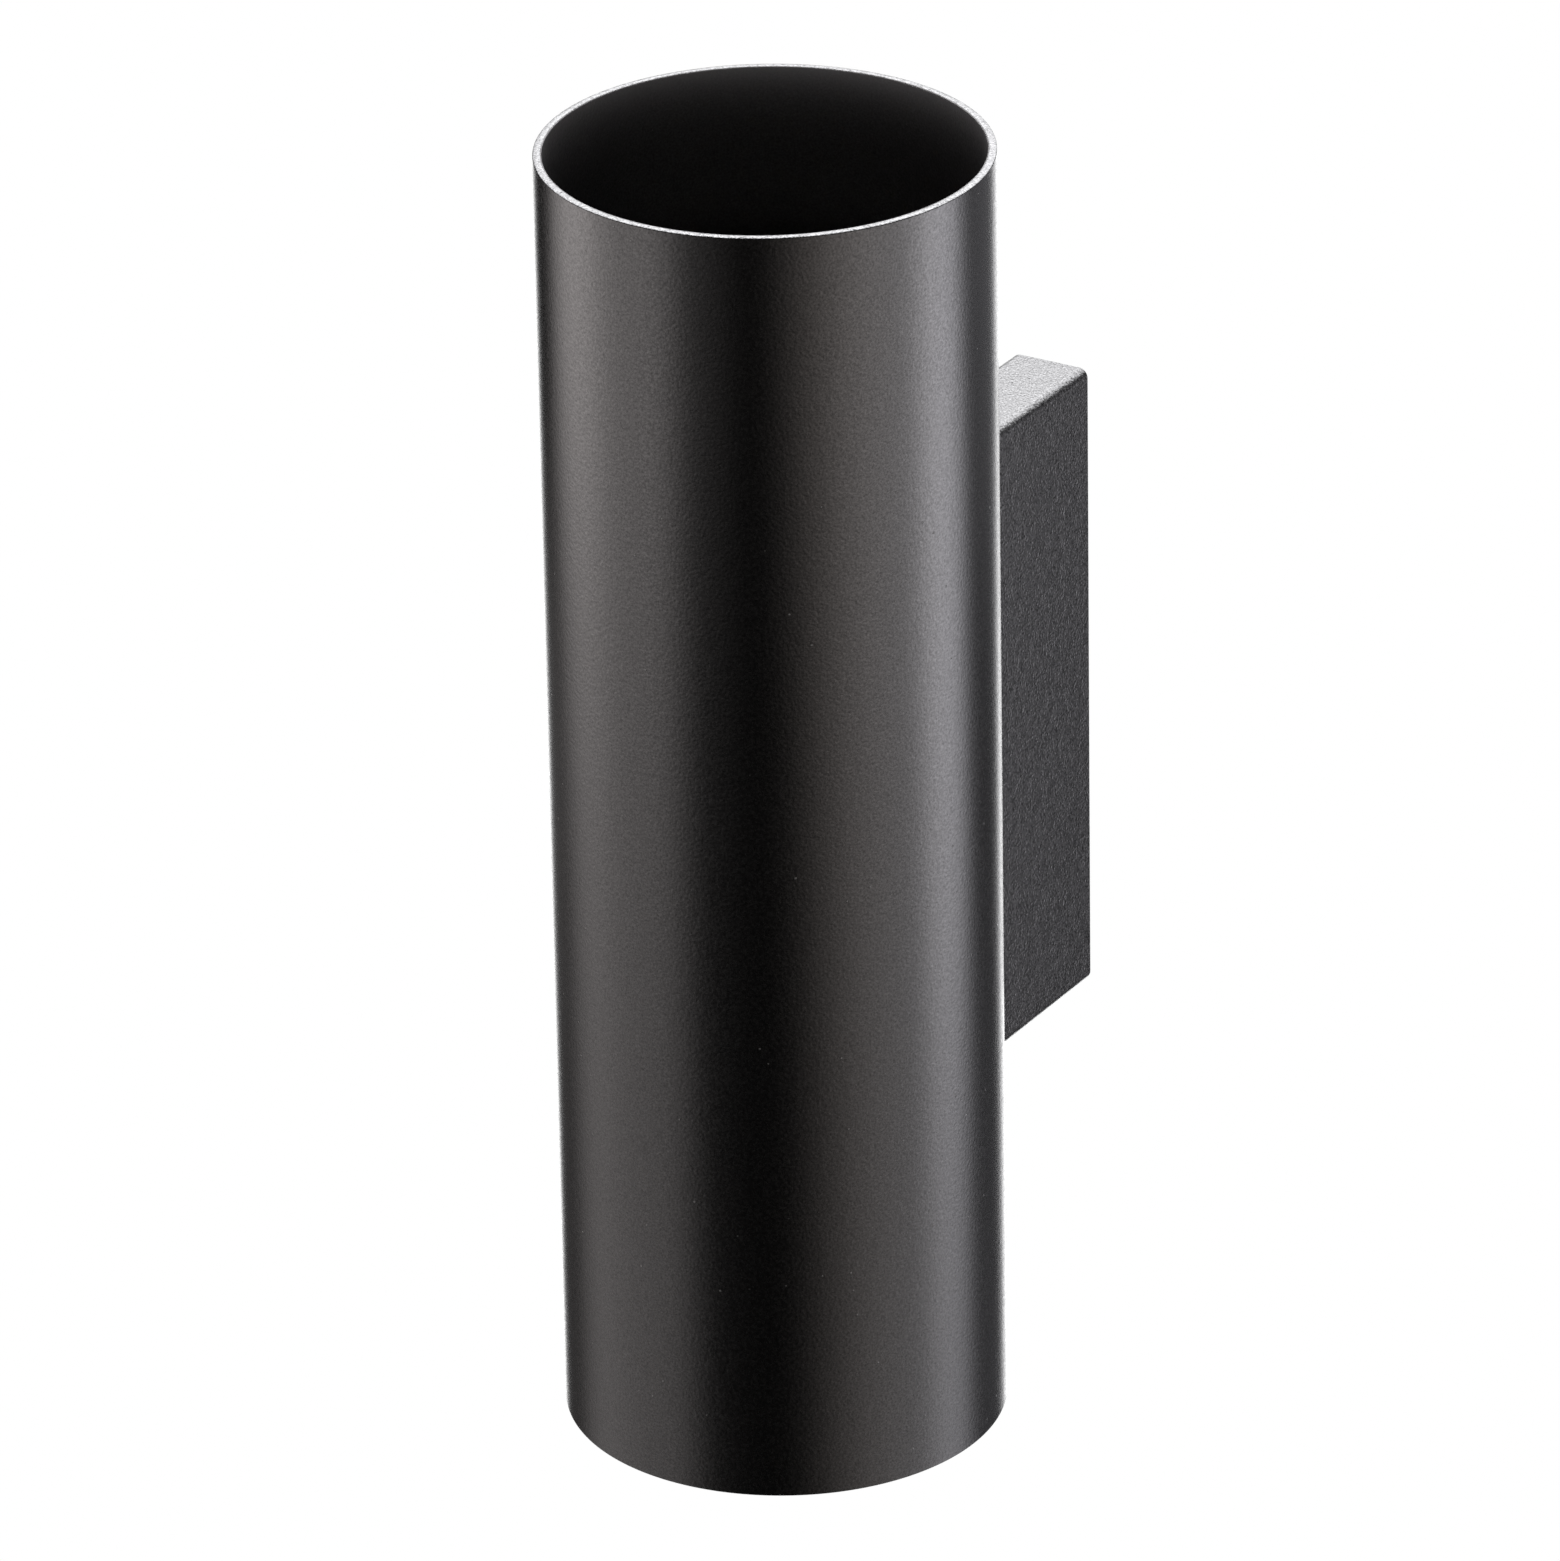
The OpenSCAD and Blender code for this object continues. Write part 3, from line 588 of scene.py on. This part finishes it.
def revolve(profile, sides, middle):
    """Turns a closed profile of (radius, height, direction out, direction up) about the upright
    axis through middle."""
    shape = Shape()
    starts = []
    for radius, height, out, up in profile:
        points, normals = [], []
        for i in range(sides):
            angle = 2 * math.pi * i / sides
            east, north = math.cos(angle), math.sin(angle)
            points.append((middle.x + radius * east, middle.y + radius * north, middle.z + height))
            normals.append((out * east, out * north, up))
        starts.append(shape.ring(points, normals))
    for first, second in zip(starts, starts[1:] + starts[:1]):
        shape.bridge(first, second, sides)
    return shape


print("points of a quarter round in four steps:", len(arc(0, 0, 1, 0, 90, 4)))

# %% [markdown]
# The tube
#
# On the real light this is a length of round pipe, cut square and coated. Sawing leaves a sharp
# edge that is broken with a file before coating, and the melted powder draws into a bead on it. So
# each rim is a shallow crown between two small rounded edges. The crown mirrors a wide stretch of
# the studio, which keeps the rim bright all the way round.

# %% Turn the tube
TUBE_WALL = 1.3 * MM
RIM_ROUND = 0.15 * MM
RIM_LEAN = 12  # degrees, at both edges of the crown
EDGE_STEPS = 5
CROWN_STEPS = 8
TUBE_SIDES = 300

# A face belongs to the inside from this share of the wall on, and to a rim from this upward part
# of its direction on
INSIDE_FROM = 0.8
RIM_FROM = 0.5


def rim_profile():
    """The upper rim from outside to inside: rounded edge, crown, rounded edge."""
    middle = tube_radius - TUBE_WALL / 2
    reach = TUBE_WALL / 2 - RIM_ROUND
    lean = math.radians(RIM_LEAN)
    crown = reach / math.sin(lean) + RIM_ROUND
    edge_up = half_length - crown + (crown - RIM_ROUND) * math.cos(lean)
    outer = arc(middle + reach, edge_up, RIM_ROUND, 0, 90 - RIM_LEAN, EDGE_STEPS)
    top = arc(middle, half_length - crown, crown, 90 - RIM_LEAN, 90 + RIM_LEAN, CROWN_STEPS)
    inside = arc(middle - reach, edge_up, RIM_ROUND, 90 + RIM_LEAN, 180, EDGE_STEPS)
    return outer + top[1:-1] + inside


def make_tube():
    """The tube as one turned wall with rounded rims. Its slots: outside, inside, rims."""
    above = rim_profile()
    below = [(radius, -height, out, -up) for radius, height, out, up in reversed(above)]
    made = revolve(above + below, TUBE_SIDES, tube_centre).make("tube_coated", tube_coat)
    made.data.materials.append(inner_coat)
    made.data.materials.append(rim_coat)
    for face in made.data.polygons:
        away = (face.center - tube_centre).xy.length
        if away < tube_radius - INSIDE_FROM * TUBE_WALL:
            face.material_index = 1
        elif abs(face.normal.z) > RIM_FROM:
            face.material_index = 2
    return made


tube = make_tube()
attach(tube, "fixture")
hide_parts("tube")
print("tube faces:", len(tube.data.polygons))

# %% [markdown]
# The wall box
#
# The box is a short length of slim rectangular section with rounded long edges. Its front is cut
# to the tube's curve, and its back is open and sits on the wall. It is made as one sleeve of
# outlines, from the curved front to the back's slightly rounded rim. The hollow behind, with the
# rib that hangs on the bracket, is built of flat faces.

# %% Shape the wall box
BOX_WALL = 1.5 * MM
BOX_ROUND = 1.5 * MM
BOX_BACK_ROUND = 0.35 * MM
WEB = 4 * MM
SADDLE_GAP = 0.1 * MM
RIB_SIZE = 3 * MM
RIB_HIGH = 4 * MM
RIB_PLACE = 2.3 * MM
CORNER_STEPS = 10
SADDLE_STEPS = 14
BACK_STEPS = 5

box_width = box_high.x - box_low.x
box_height = box_high.z - box_low.z
box_middle = (box_high.z + box_low.z) / 2
box_back = box_high.y
saddle_radius = tube_radius + SADDLE_GAP
hollow_side = box_width / 2 - BOX_WALL
hollow_rise = box_height / 2 - BOX_WALL


def box_outline(inset):
    """Half of the box's outline, over the top from left to right: points and directions."""
    x = box_width / 2 - BOX_ROUND
    z = box_height / 2 - BOX_ROUND
    reach = BOX_ROUND - inset
    left = arc(-x, z, reach, 180, 90, CORNER_STEPS)
    right = arc(x, z, reach, 90, 0, CORNER_STEPS)
    flat = [
        (-x + 2 * x * i / SADDLE_STEPS, z + reach, 0.0, 1.0)
        for i in range(1, SADDLE_STEPS)
    ]
    return left + flat + right


def add_row(shape, inset, y_of, lean):
    """A closed row round the box at the depths y_of gives. lean turns its directions from
    outwards to the wall. Returns its first point's number and its count of points."""
    top = box_outline(inset)
    under = [(x, -z, out, -up) for x, z, out, up in reversed(top)]
    row = top + under
    points = [(x, y_of(x), box_middle + z) for x, z, _, _ in row]
    flat, back = math.cos(lean), math.sin(lean)
    normals = [(out * flat, back, up * flat) for _, _, out, up in row]
    return shape.ring(points, normals), len(row)


def saddle_depth(x):
    """Where the tube's curve, with its gap, meets the box at x."""
    return tube_centre.y + math.sqrt(saddle_radius**2 - x**2)


def add_sleeve(shape):
    """The outer skin, from the saddle's edge to the rounded rim on the wall."""
    front, count = add_row(shape, 0, saddle_depth, 0)
    rows = [front]
    for i in range(BACK_STEPS + 1):
        lean = math.radians(90 * i / BACK_STEPS)
        inset = BOX_BACK_ROUND * (1 - math.cos(lean))
        level = box_back - BOX_BACK_ROUND * (1 - math.sin(lean))
        rows.append(add_row(shape, inset, lambda x, level=level: level, lean)[0])
    for first, second in zip(rows, rows[1:]):
        shape.bridge(first, second, count)
    return rows[0], rows[-1], count


def add_wall_rim(shape, last, count):
    """The flat rim that lies on the wall, from the sleeve's last row to the hollow's mouth."""
    mouth = []
    for x, _, z in shape.points[last:last + count]:
        side = max(-hollow_side, min(hollow_side, x))
        rise = math.copysign(hollow_rise, z - box_middle)
        mouth.append((side, box_back, box_middle + rise))
    shape.bridge(last, shape.ring(mouth, [(0.0, 1.0, 0.0)] * count), count)


def add_saddle(shape, front, count):
    """Upright strips across the front, which follow the tube."""
    for i in range(count // 2 - 1):
        over = (front + i, front + i + 1)
        under = (front + count - 1 - i, front + count - 2 - i)
        corners = [shape.points[k] for k in (over[0], under[0], under[1], over[1])]
        shape.patch(corners, (0.0, -1.0, 0.0))


def add_hollow(shape):
    """The hollow's four walls and the web's back, and the rib across its top."""
    depth = tube_centre.y + saddle_radius + WEB
    walls = Shape()
    walls.slab(
        (-hollow_side, depth, box_middle - hollow_rise),
        (hollow_side, box_back, box_middle + hollow_rise),
    )
    for face in walls.faces:
        corners = [walls.points[k] for k in face]
        normal = walls.normals[face[0]]
        faces_the_wall = normal[1] > 0
        if not faces_the_wall:
            shape.patch(list(reversed(corners)), tuple(-v for v in normal))
    shape.slab(
        (-hollow_side, box_back - RIB_PLACE - RIB_SIZE, box_middle + hollow_rise - RIB_HIGH),
        (hollow_side, box_back - RIB_PLACE, box_middle + hollow_rise),
    )


def make_box():
    """The box: an outer sleeve, the rim, the saddle for the tube, the hollow and its rib."""
    shape = Shape()
    front, last, count = add_sleeve(shape)
    add_wall_rim(shape, last, count)
    add_saddle(shape, front, count)
    add_hollow(shape)
    return shape.make("wall_box_coated", box_coat)


wall_box = make_box()
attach(wall_box, "fixture")
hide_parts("wall_box")
print("box faces:", len(wall_box.data.polygons))

# %% [markdown]
# The lenses
#
# Looking into either end of the tube, one sees a lamp's lens: a moulded disc with a raised edge,
# a shallow groove inside it, and a gently domed middle with rings. It is pressed from clear
# plastic. A profile of the disc is worked out ring by ring and turned about the lamp's axis. A
# pinhole in the middle, too small to see, spares the mesh a corner where all its faces meet.

# %% Turn the lenses
LENS_EDGE_ROUND = 0.3 * MM
LENS_LIP = 1.6 * MM
LENS_GROOVE = 0.5 * MM
LENS_DOME = 0.45 * MM
LENS_RINGS = 7
LENS_RIPPLE = 0.12 * MM
LENS_SIDES = 128
LENS_STEPS = 84
LENS_EDGE_STEPS = 4
PINHOLE = 0.01 * MM

# The slope from the lip down to the groove: its width, and its direction outwards and upwards
LIP_SLOPE = 0.35 * MM
LIP_SLOPE_OUT = -0.8
LIP_SLOPE_UP = 0.6


def lens_surface(radius, edge):
    """Height of the lens's middle below its lip, at a radius, and its slope."""
    inner = edge - LENS_LIP
    share = radius / inner
    turns = 2 * math.pi * LENS_RINGS
    height = -LENS_GROOVE + LENS_DOME * (1 - share**2) + LENS_RIPPLE * math.cos(turns * share)
    slope = (-2 * LENS_DOME * share - LENS_RIPPLE * turns * math.sin(turns * share)) / inner
    return height, slope


def make_lens(end, up):
    """The lens at one end, its face upwards when up is 1 and downwards when up is -1."""
    low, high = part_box("lamp_lens_" + end)
    edge = (high.x - low.x) / 2
    thick = high.z - low.z
    middle = Vector(((low.x + high.x) / 2, (low.y + high.y) / 2, low.z if up > 0 else high.z))
    lip = edge - LENS_LIP
    profile = [(PINHOLE, 0.0, 0.0, -1.0), (edge, 0.0, 0.0, -1.0), (edge, 0.0, 1.0, 0.0)]
    round_middle = (edge - LENS_EDGE_ROUND, thick - LENS_EDGE_ROUND)
    profile += arc(*round_middle, LENS_EDGE_ROUND, 0, 90, LENS_EDGE_STEPS)
    profile.append((lip + LIP_SLOPE, thick, 0.0, 1.0))
    profile.append((lip + LIP_SLOPE, thick, LIP_SLOPE_OUT, LIP_SLOPE_UP))
    for i in range(LENS_STEPS, -1, -1):
        radius = max(lip * i / LENS_STEPS, PINHOLE)
        height, slope = lens_surface(radius, edge)
        length = math.hypot(1, slope)
        profile.append((radius, thick + height, -slope / length, 1 / length))
    turned = [(radius, up * height, out, up * rise) for radius, height, out, rise in profile]
    if up < 0:
        turned.reverse()
    lens = revolve(turned, LENS_SIDES, middle).make("lens_moulded_" + end, lens_clear)
    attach(lens, end + "_lamp")
    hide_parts("lamp_lens_" + end)
    return lens


for end, up in (("upper", 1), ("lower", -1)):
    lens = make_lens(end, up)
    print(lens.name, "faces:", len(lens.data.polygons))

# %% [markdown]
# The floor
#
# A pale floor lies well below the light and takes its soft shadow. Away from the shadow it fades
# to the white of the background, as on a cut-out photograph. Its underside is see-through, so
# that a camera that looks up from below still sees the light.

# %% Lay the floor
FLOOR_DROP = 0.45
FLOOR_HALF = 0.9
FLOOR_GREY = 0.85
SHADOW_INNER = 0.18
SHADOW_OUTER = 0.42
floor_middle = Vector((tube_centre.x, tube_centre.y, tube_low.z - FLOOR_DROP))


def direct_rays(tree):
    """1 for rays from the camera, from a mirror or through glass, and 0 for all others."""
    path = tree.nodes.new("ShaderNodeLightPath")
    direct = path.outputs["Is Camera Ray"]
    for kind in ("Is Glossy Ray", "Is Transmission Ray"):
        either = tree.nodes.new("ShaderNodeMath")
        either.operation = "MAXIMUM"
        tree.links.new(direct, either.inputs[0])
        tree.links.new(path.outputs[kind], either.inputs[1])
        direct = either.outputs["Value"]
    return direct


def past_the_shadow(tree):
    """0 in the middle of the floor, where the shadow falls, and 1 far away from it."""
    place = tree.nodes.new("ShaderNodeTexCoord")
    away = tree.nodes.new("ShaderNodeVectorMath")
    away.operation = "DISTANCE"
    away.inputs[1].default_value = floor_middle
    tree.links.new(place.outputs["Object"], away.inputs[0])
    far = tree.nodes.new("ShaderNodeMapRange")
    far.interpolation_type = "SMOOTHSTEP"
    far.inputs["From Min"].default_value = SHADOW_INNER
    far.inputs["From Max"].default_value = SHADOW_OUTER
    tree.links.new(away.outputs["Value"], far.inputs["Value"])
    return far.outputs["Result"]


def mixed(tree, share, first, second):
    """A mix of two shaders, with share as the second one's share."""
    mix = tree.nodes.new("ShaderNodeMixShader")
    tree.links.new(share, mix.inputs["Fac"])
    tree.links.new(first, mix.inputs[1])
    tree.links.new(second, mix.inputs[2])
    return mix.outputs["Shader"]


def floor_material():
    """White to the camera, pale to other light, and nothing from below."""
    material = bpy.data.materials.new("floor_white")
    material.use_nodes = True
    tree = material.node_tree
    tree.nodes.clear()
    pale = tree.nodes.new("ShaderNodeBsdfDiffuse")
    pale.inputs["Color"].default_value = (FLOOR_GREY, FLOOR_GREY, FLOOR_GREY, 1)
    white = tree.nodes.new("ShaderNodeEmission")
    share = tree.nodes.new("ShaderNodeMath")
    share.operation = "MULTIPLY"
    tree.links.new(direct_rays(tree), share.inputs[0])
    tree.links.new(past_the_shadow(tree), share.inputs[1])
    clear = tree.nodes.new("ShaderNodeBsdfTransparent")
    side = tree.nodes.new("ShaderNodeNewGeometry")
    top = mixed(tree, share.outputs["Value"], pale.outputs["BSDF"], white.outputs["Emission"])
    both = mixed(tree, side.outputs["Backfacing"], top, clear.outputs["BSDF"])
    out = tree.nodes.new("ShaderNodeOutputMaterial")
    tree.links.new(both, out.inputs["Surface"])
    return material


def make_mesh(name, points, faces, material):
    """A mesh object from corner points and faces."""
    mesh = bpy.data.meshes.new(name)
    mesh.from_pydata(points, [], faces)
    mesh.materials.append(material)
    made = bpy.data.objects.new(name, mesh)
    bpy.context.scene.collection.objects.link(made)
    return made


floor_corners = [
    floor_middle + FLOOR_HALF * Vector((x, y, 0))
    for x, y in ((-1, -1), (1, -1), (1, 1), (-1, 1))
]
floor = make_mesh("floor", floor_corners, [(0, 1, 2, 3)], floor_material())
floor.visible_glossy = False
print("floor at z =", round(floor_middle.z, 3))

# %% [markdown]
# The light tent
#
# A dark glossy tube is a mirror with a blur: what shapes it in a picture is what it mirrors.
# The tent is a drum round the light that only mirror rays see. It is dark in front, behind the
# camera, with a softbox to the left, a stronger one to the right and a white wall behind. Three
# bright cards hang high up at the back, where the rims, the box's top and its rounded edges
# mirror them. The wall is a little warm in front and cool at the right side.

# %% Plan the softboxes and the cards
TENT_DARK = 0.008

# Wall softboxes: the bearings, in degrees to the right of the camera's side, between which the
# glow rises and falls, then its strength at each of the heights
GLOW_HEIGHTS = (-0.44, -0.34, -0.29, -0.26, -0.14)
SOFTBOXES = [
    ((-140, -100, -64, -34), (1.08, 1.22, 1.58, 2.50, 2.50)),
    ((-140, -112, -100, -80), (0.00, 0.15, 0.30, 0.70, 1.30)),
    ((-170, -150, -142, -126), (0.08, 0.17, 0.10, 0.00, 0.00)),
    ((-75, -52, -36, -8), (0.04, 0.00, 0.00, 0.56, 0.50)),
    ((-10, 18, 40, 80), (0.04, 0.00, 0.00, 0.46, 0.46)),
    ((0, 62, 85, 120), (1.40, 1.64, 2.05, 3.00, 2.90)),
    ((68, 90, 97, 119), (1.15, 3.65, 3.12, 3.20, 3.20)),
    ((112, 126, 138, 152), (0.16, 0.05, 0.20, 0.30, 0.40)),
    ((148, 161, 190, 203), (3.20, 3.20, 2.80, 2.80, 2.80)),
]

# Their tint by bearing: warm in front, cool at the right side, even behind
TINT_BEARINGS = (-160, -145, -30, 15, 45, 70, 95, 145, 160)
RED_SHARES = (1.0, 1.046, 1.046, 1.095, 1.055, 1.02, 0.995, 0.985, 1.0)
GREEN_SHARES = (1.0, 0.98, 0.98, 0.98, 0.98, 0.978, 0.973, 0.973, 1.0)
BLUE_SHARES = (1.0, 0.974, 0.974, 0.925, 0.965, 1.0, 1.032, 1.04, 1.0)

# Cards high up behind: the bearings of each, its glow at each of the heights, and their tint
CARD_HEIGHTS = (0.20, 0.32, 0.47, 0.70, 0.95, 1.05)
CARDS = [
    ((156, 172, 184, 199), (0.0, 4.3, 6.2, 14.0, 14.0, 0.0)),
    ((116, 130, 154, 172), (0.0, 5.2, 6.6, 11.0, 9.0, 0.0)),
    ((184, 199, 228, 245), (0.0, 0.0, 2.0, 12.0, 12.0, 0.0)),
]
CARD_TINT = (0.994, 0.991, 1.016)

# The softboxes fade to a share of themselves between these two heights
WALL_FADE = (-0.16, 0.04)
WALL_ABOVE = 0.3
print("softboxes and cards:", len(SOFTBOXES), len(CARDS))

# %% [markdown]
# How bright the tent is
#
# Each softbox fades towards its edges, because a hard edge would show as a line on the tube. Its
# strength changes with the height, and so does the cards'. The two are added up for a place on
# the drum. The drum's floor and roof are grey, brighter to the left and right than in front and
# behind, so that the tube looks round from above too.

# %% Work out the glow
CAP_LOW = 0.25
CAP_HIGH = 0.50
CAP_MIDDLE = 0.4
CAP_SIDES = 1.2


def bump_between(value, edges):
    """0 outside the four edges, 1 between the middle two, and smooth in between."""
    a, b, c, d = edges
    share = min((value - a) / (b - a), 1.0, (d - value) / (d - c))
    return 0.0 if share <= 0 else 0.5 - 0.5 * math.cos(math.pi * share)


def value_at(place, places, values):
    """Value at a place, in straight lines between the given places, and level beyond them."""
    place = min(max(place, places[0]), places[-1])
    for i in range(len(values) - 1):
        low, high = places[i:i + 2]
        if place <= high:
            return values[i] + (values[i + 1] - values[i]) * (place - low) / (high - low)


def tent_glow(bearing, height):
    """Colour of the tent's glow at a bearing from the camera's side and a height."""
    wall, cards = 0.0, 0.0
    for edges, strengths in SOFTBOXES:
        around = max(bump_between(bearing + turn, edges) for turn in (-360, 0, 360))
        wall += around * value_at(height, GLOW_HEIGHTS, strengths)
    wall *= value_at(height, WALL_FADE, (1.0, WALL_ABOVE))
    for edges, strengths in CARDS:
        cards += bump_between(bearing, edges) * value_at(height, CARD_HEIGHTS, strengths)
    turned = (bearing + 180) % 360 - 180
    glow = []
    for shares, card_share in zip((RED_SHARES, GREEN_SHARES, BLUE_SHARES), CARD_TINT):
        tint = value_at(turned, TINT_BEARINGS, shares)
        glow.append(TENT_DARK + wall * tint + cards * card_share)
    return glow + [1.0]


def cap_glow(bearing, level):
    """Colour of the drum's floor or roof at a bearing."""
    glow = level * (CAP_MIDDLE + CAP_SIDES * math.sin(math.radians(bearing)) ** 2)
    return [glow, glow, glow, 1.0]


print("glow at the right, low down:", [round(v, 2) for v in tent_glow(90, GLOW_HEIGHTS[0])])

# %% [markdown]
# The drum
#
# The tent is one drum of small faces. Its glow is kept in the mesh as a colour for each corner,
# and its material glows in that colour. The drum is hidden from the camera and lets all light but
# the mirrored pass, so it can stand in front of the camera.

# %% Hang the light tent
TENT_RADIUS = 0.8
TENT_LOW = -0.85
TENT_HIGH = 1.05
TENT_COLUMNS = 240
TENT_ROWS = 76
CAP_MOUTH = 0.01
CAP_EDGE = 0.99


def tent_rows():
    """The drum's rows from the floor's middle up to the roof's, as (share of the radius, height,
    level of floor or roof)."""
    rows = [(share, TENT_LOW, CAP_LOW) for share in (CAP_MOUTH, CAP_EDGE)]
    step = (TENT_HIGH - TENT_LOW) / TENT_ROWS
    rows += [(1.0, TENT_LOW + step * row, None) for row in range(TENT_ROWS + 1)]
    rows += [(share, TENT_HIGH, CAP_HIGH) for share in (CAP_EDGE, CAP_MOUTH)]
    return rows


def tent_material():
    """Glows in the colour that the mesh keeps."""
    material = bpy.data.materials.new("tent_glow")
    material.use_nodes = True
    tree = material.node_tree
    tree.nodes.clear()
    kept = tree.nodes.new("ShaderNodeAttribute")
    kept.attribute_name = "glow"
    emission = tree.nodes.new("ShaderNodeEmission")
    tree.links.new(kept.outputs["Color"], emission.inputs["Color"])
    out = tree.nodes.new("ShaderNodeOutputMaterial")
    tree.links.new(emission.outputs["Emission"], out.inputs["Surface"])
    return material


def make_tent():
    """The drum, with its glow stored at each corner."""
    points, faces, glows = [], [], []
    rows = tent_rows()
    for share, height, cap in rows:
        for column in range(TENT_COLUMNS):
            bearing = 360 * column / TENT_COLUMNS
            angle = CAMERA_AZIMUTH + math.radians(bearing)
            points.append((
                share * TENT_RADIUS * math.sin(angle),
                tube_centre.y - share * TENT_RADIUS * math.cos(angle),
                height,
            ))
            glows.extend(tent_glow(bearing, height) if cap is None else cap_glow(bearing, cap))
    for row in range(len(rows) - 1):
        for column in range(TENT_COLUMNS):
            a = row * TENT_COLUMNS + column
            b = row * TENT_COLUMNS + (column + 1) % TENT_COLUMNS
            faces.append((a, b, b + TENT_COLUMNS, a + TENT_COLUMNS))
    tent = make_mesh("light_tent", points, faces, tent_material())
    layer = tent.data.attributes.new("glow", "FLOAT_COLOR", "POINT")
    layer.data.foreach_set("color", glows)
    tent.visible_camera = False
    tent.visible_diffuse = False
    tent.visible_transmission = False
    tent.visible_shadow = False
    return tent


tent = make_tent()
print("tent faces:", len(tent.data.polygons))

# %% [markdown]
# Plain light
#
# Light that colours the surfaces themselves comes from an even white world and from one large
# soft lamp that gives shapes a lit side. Together they are at a level at which a colour looks
# about as it is written. The camera, mirrors and glass see the world as plain white.

# %% Light the object
WORLD_LEVEL = 0.75
LAMP_SIDE = 0.9
LAMP_POWER = 9.0
LAMP_PLACE = Vector((-0.9, -1.3, 1.2))


def make_world():
    """White to the camera, to mirrors and to glass, and a plain level to all else."""
    world = bpy.data.worlds.new("studio")
    bpy.context.scene.world = world
    world.use_nodes = True
    tree = world.node_tree
    tree.nodes.clear()
    even = tree.nodes.new("ShaderNodeBackground")
    even.inputs["Strength"].default_value = WORLD_LEVEL
    white = tree.nodes.new("ShaderNodeBackground")
    for background in (even, white):
        background.inputs["Color"].default_value = (1, 1, 1, 1)
    seen = mixed(tree, direct_rays(tree), even.outputs["Background"], white.outputs["Background"])
    out = tree.nodes.new("ShaderNodeOutputWorld")
    tree.links.new(seen, out.inputs["Surface"])


def make_lamp():
    """A square softbox that faces the light from the front left and above."""
    data = bpy.data.lights.new("soft_lamp", "AREA")
    data.size = LAMP_SIDE
    data.energy = LAMP_POWER
    lamp = bpy.data.objects.new("soft_lamp", data)
    bpy.context.scene.collection.objects.link(lamp)
    lamp.location = LAMP_PLACE
    lamp.rotation_mode = "QUATERNION"
    lamp.rotation_quaternion = (tube_centre - LAMP_PLACE).to_track_quat("-Z", "Y")
    lamp.visible_glossy = False
    return lamp


make_world()
soft_lamp = make_lamp()
print("world level and lamp power:", WORLD_LEVEL, LAMP_POWER)

# %% [markdown]
# Close the lesson
#
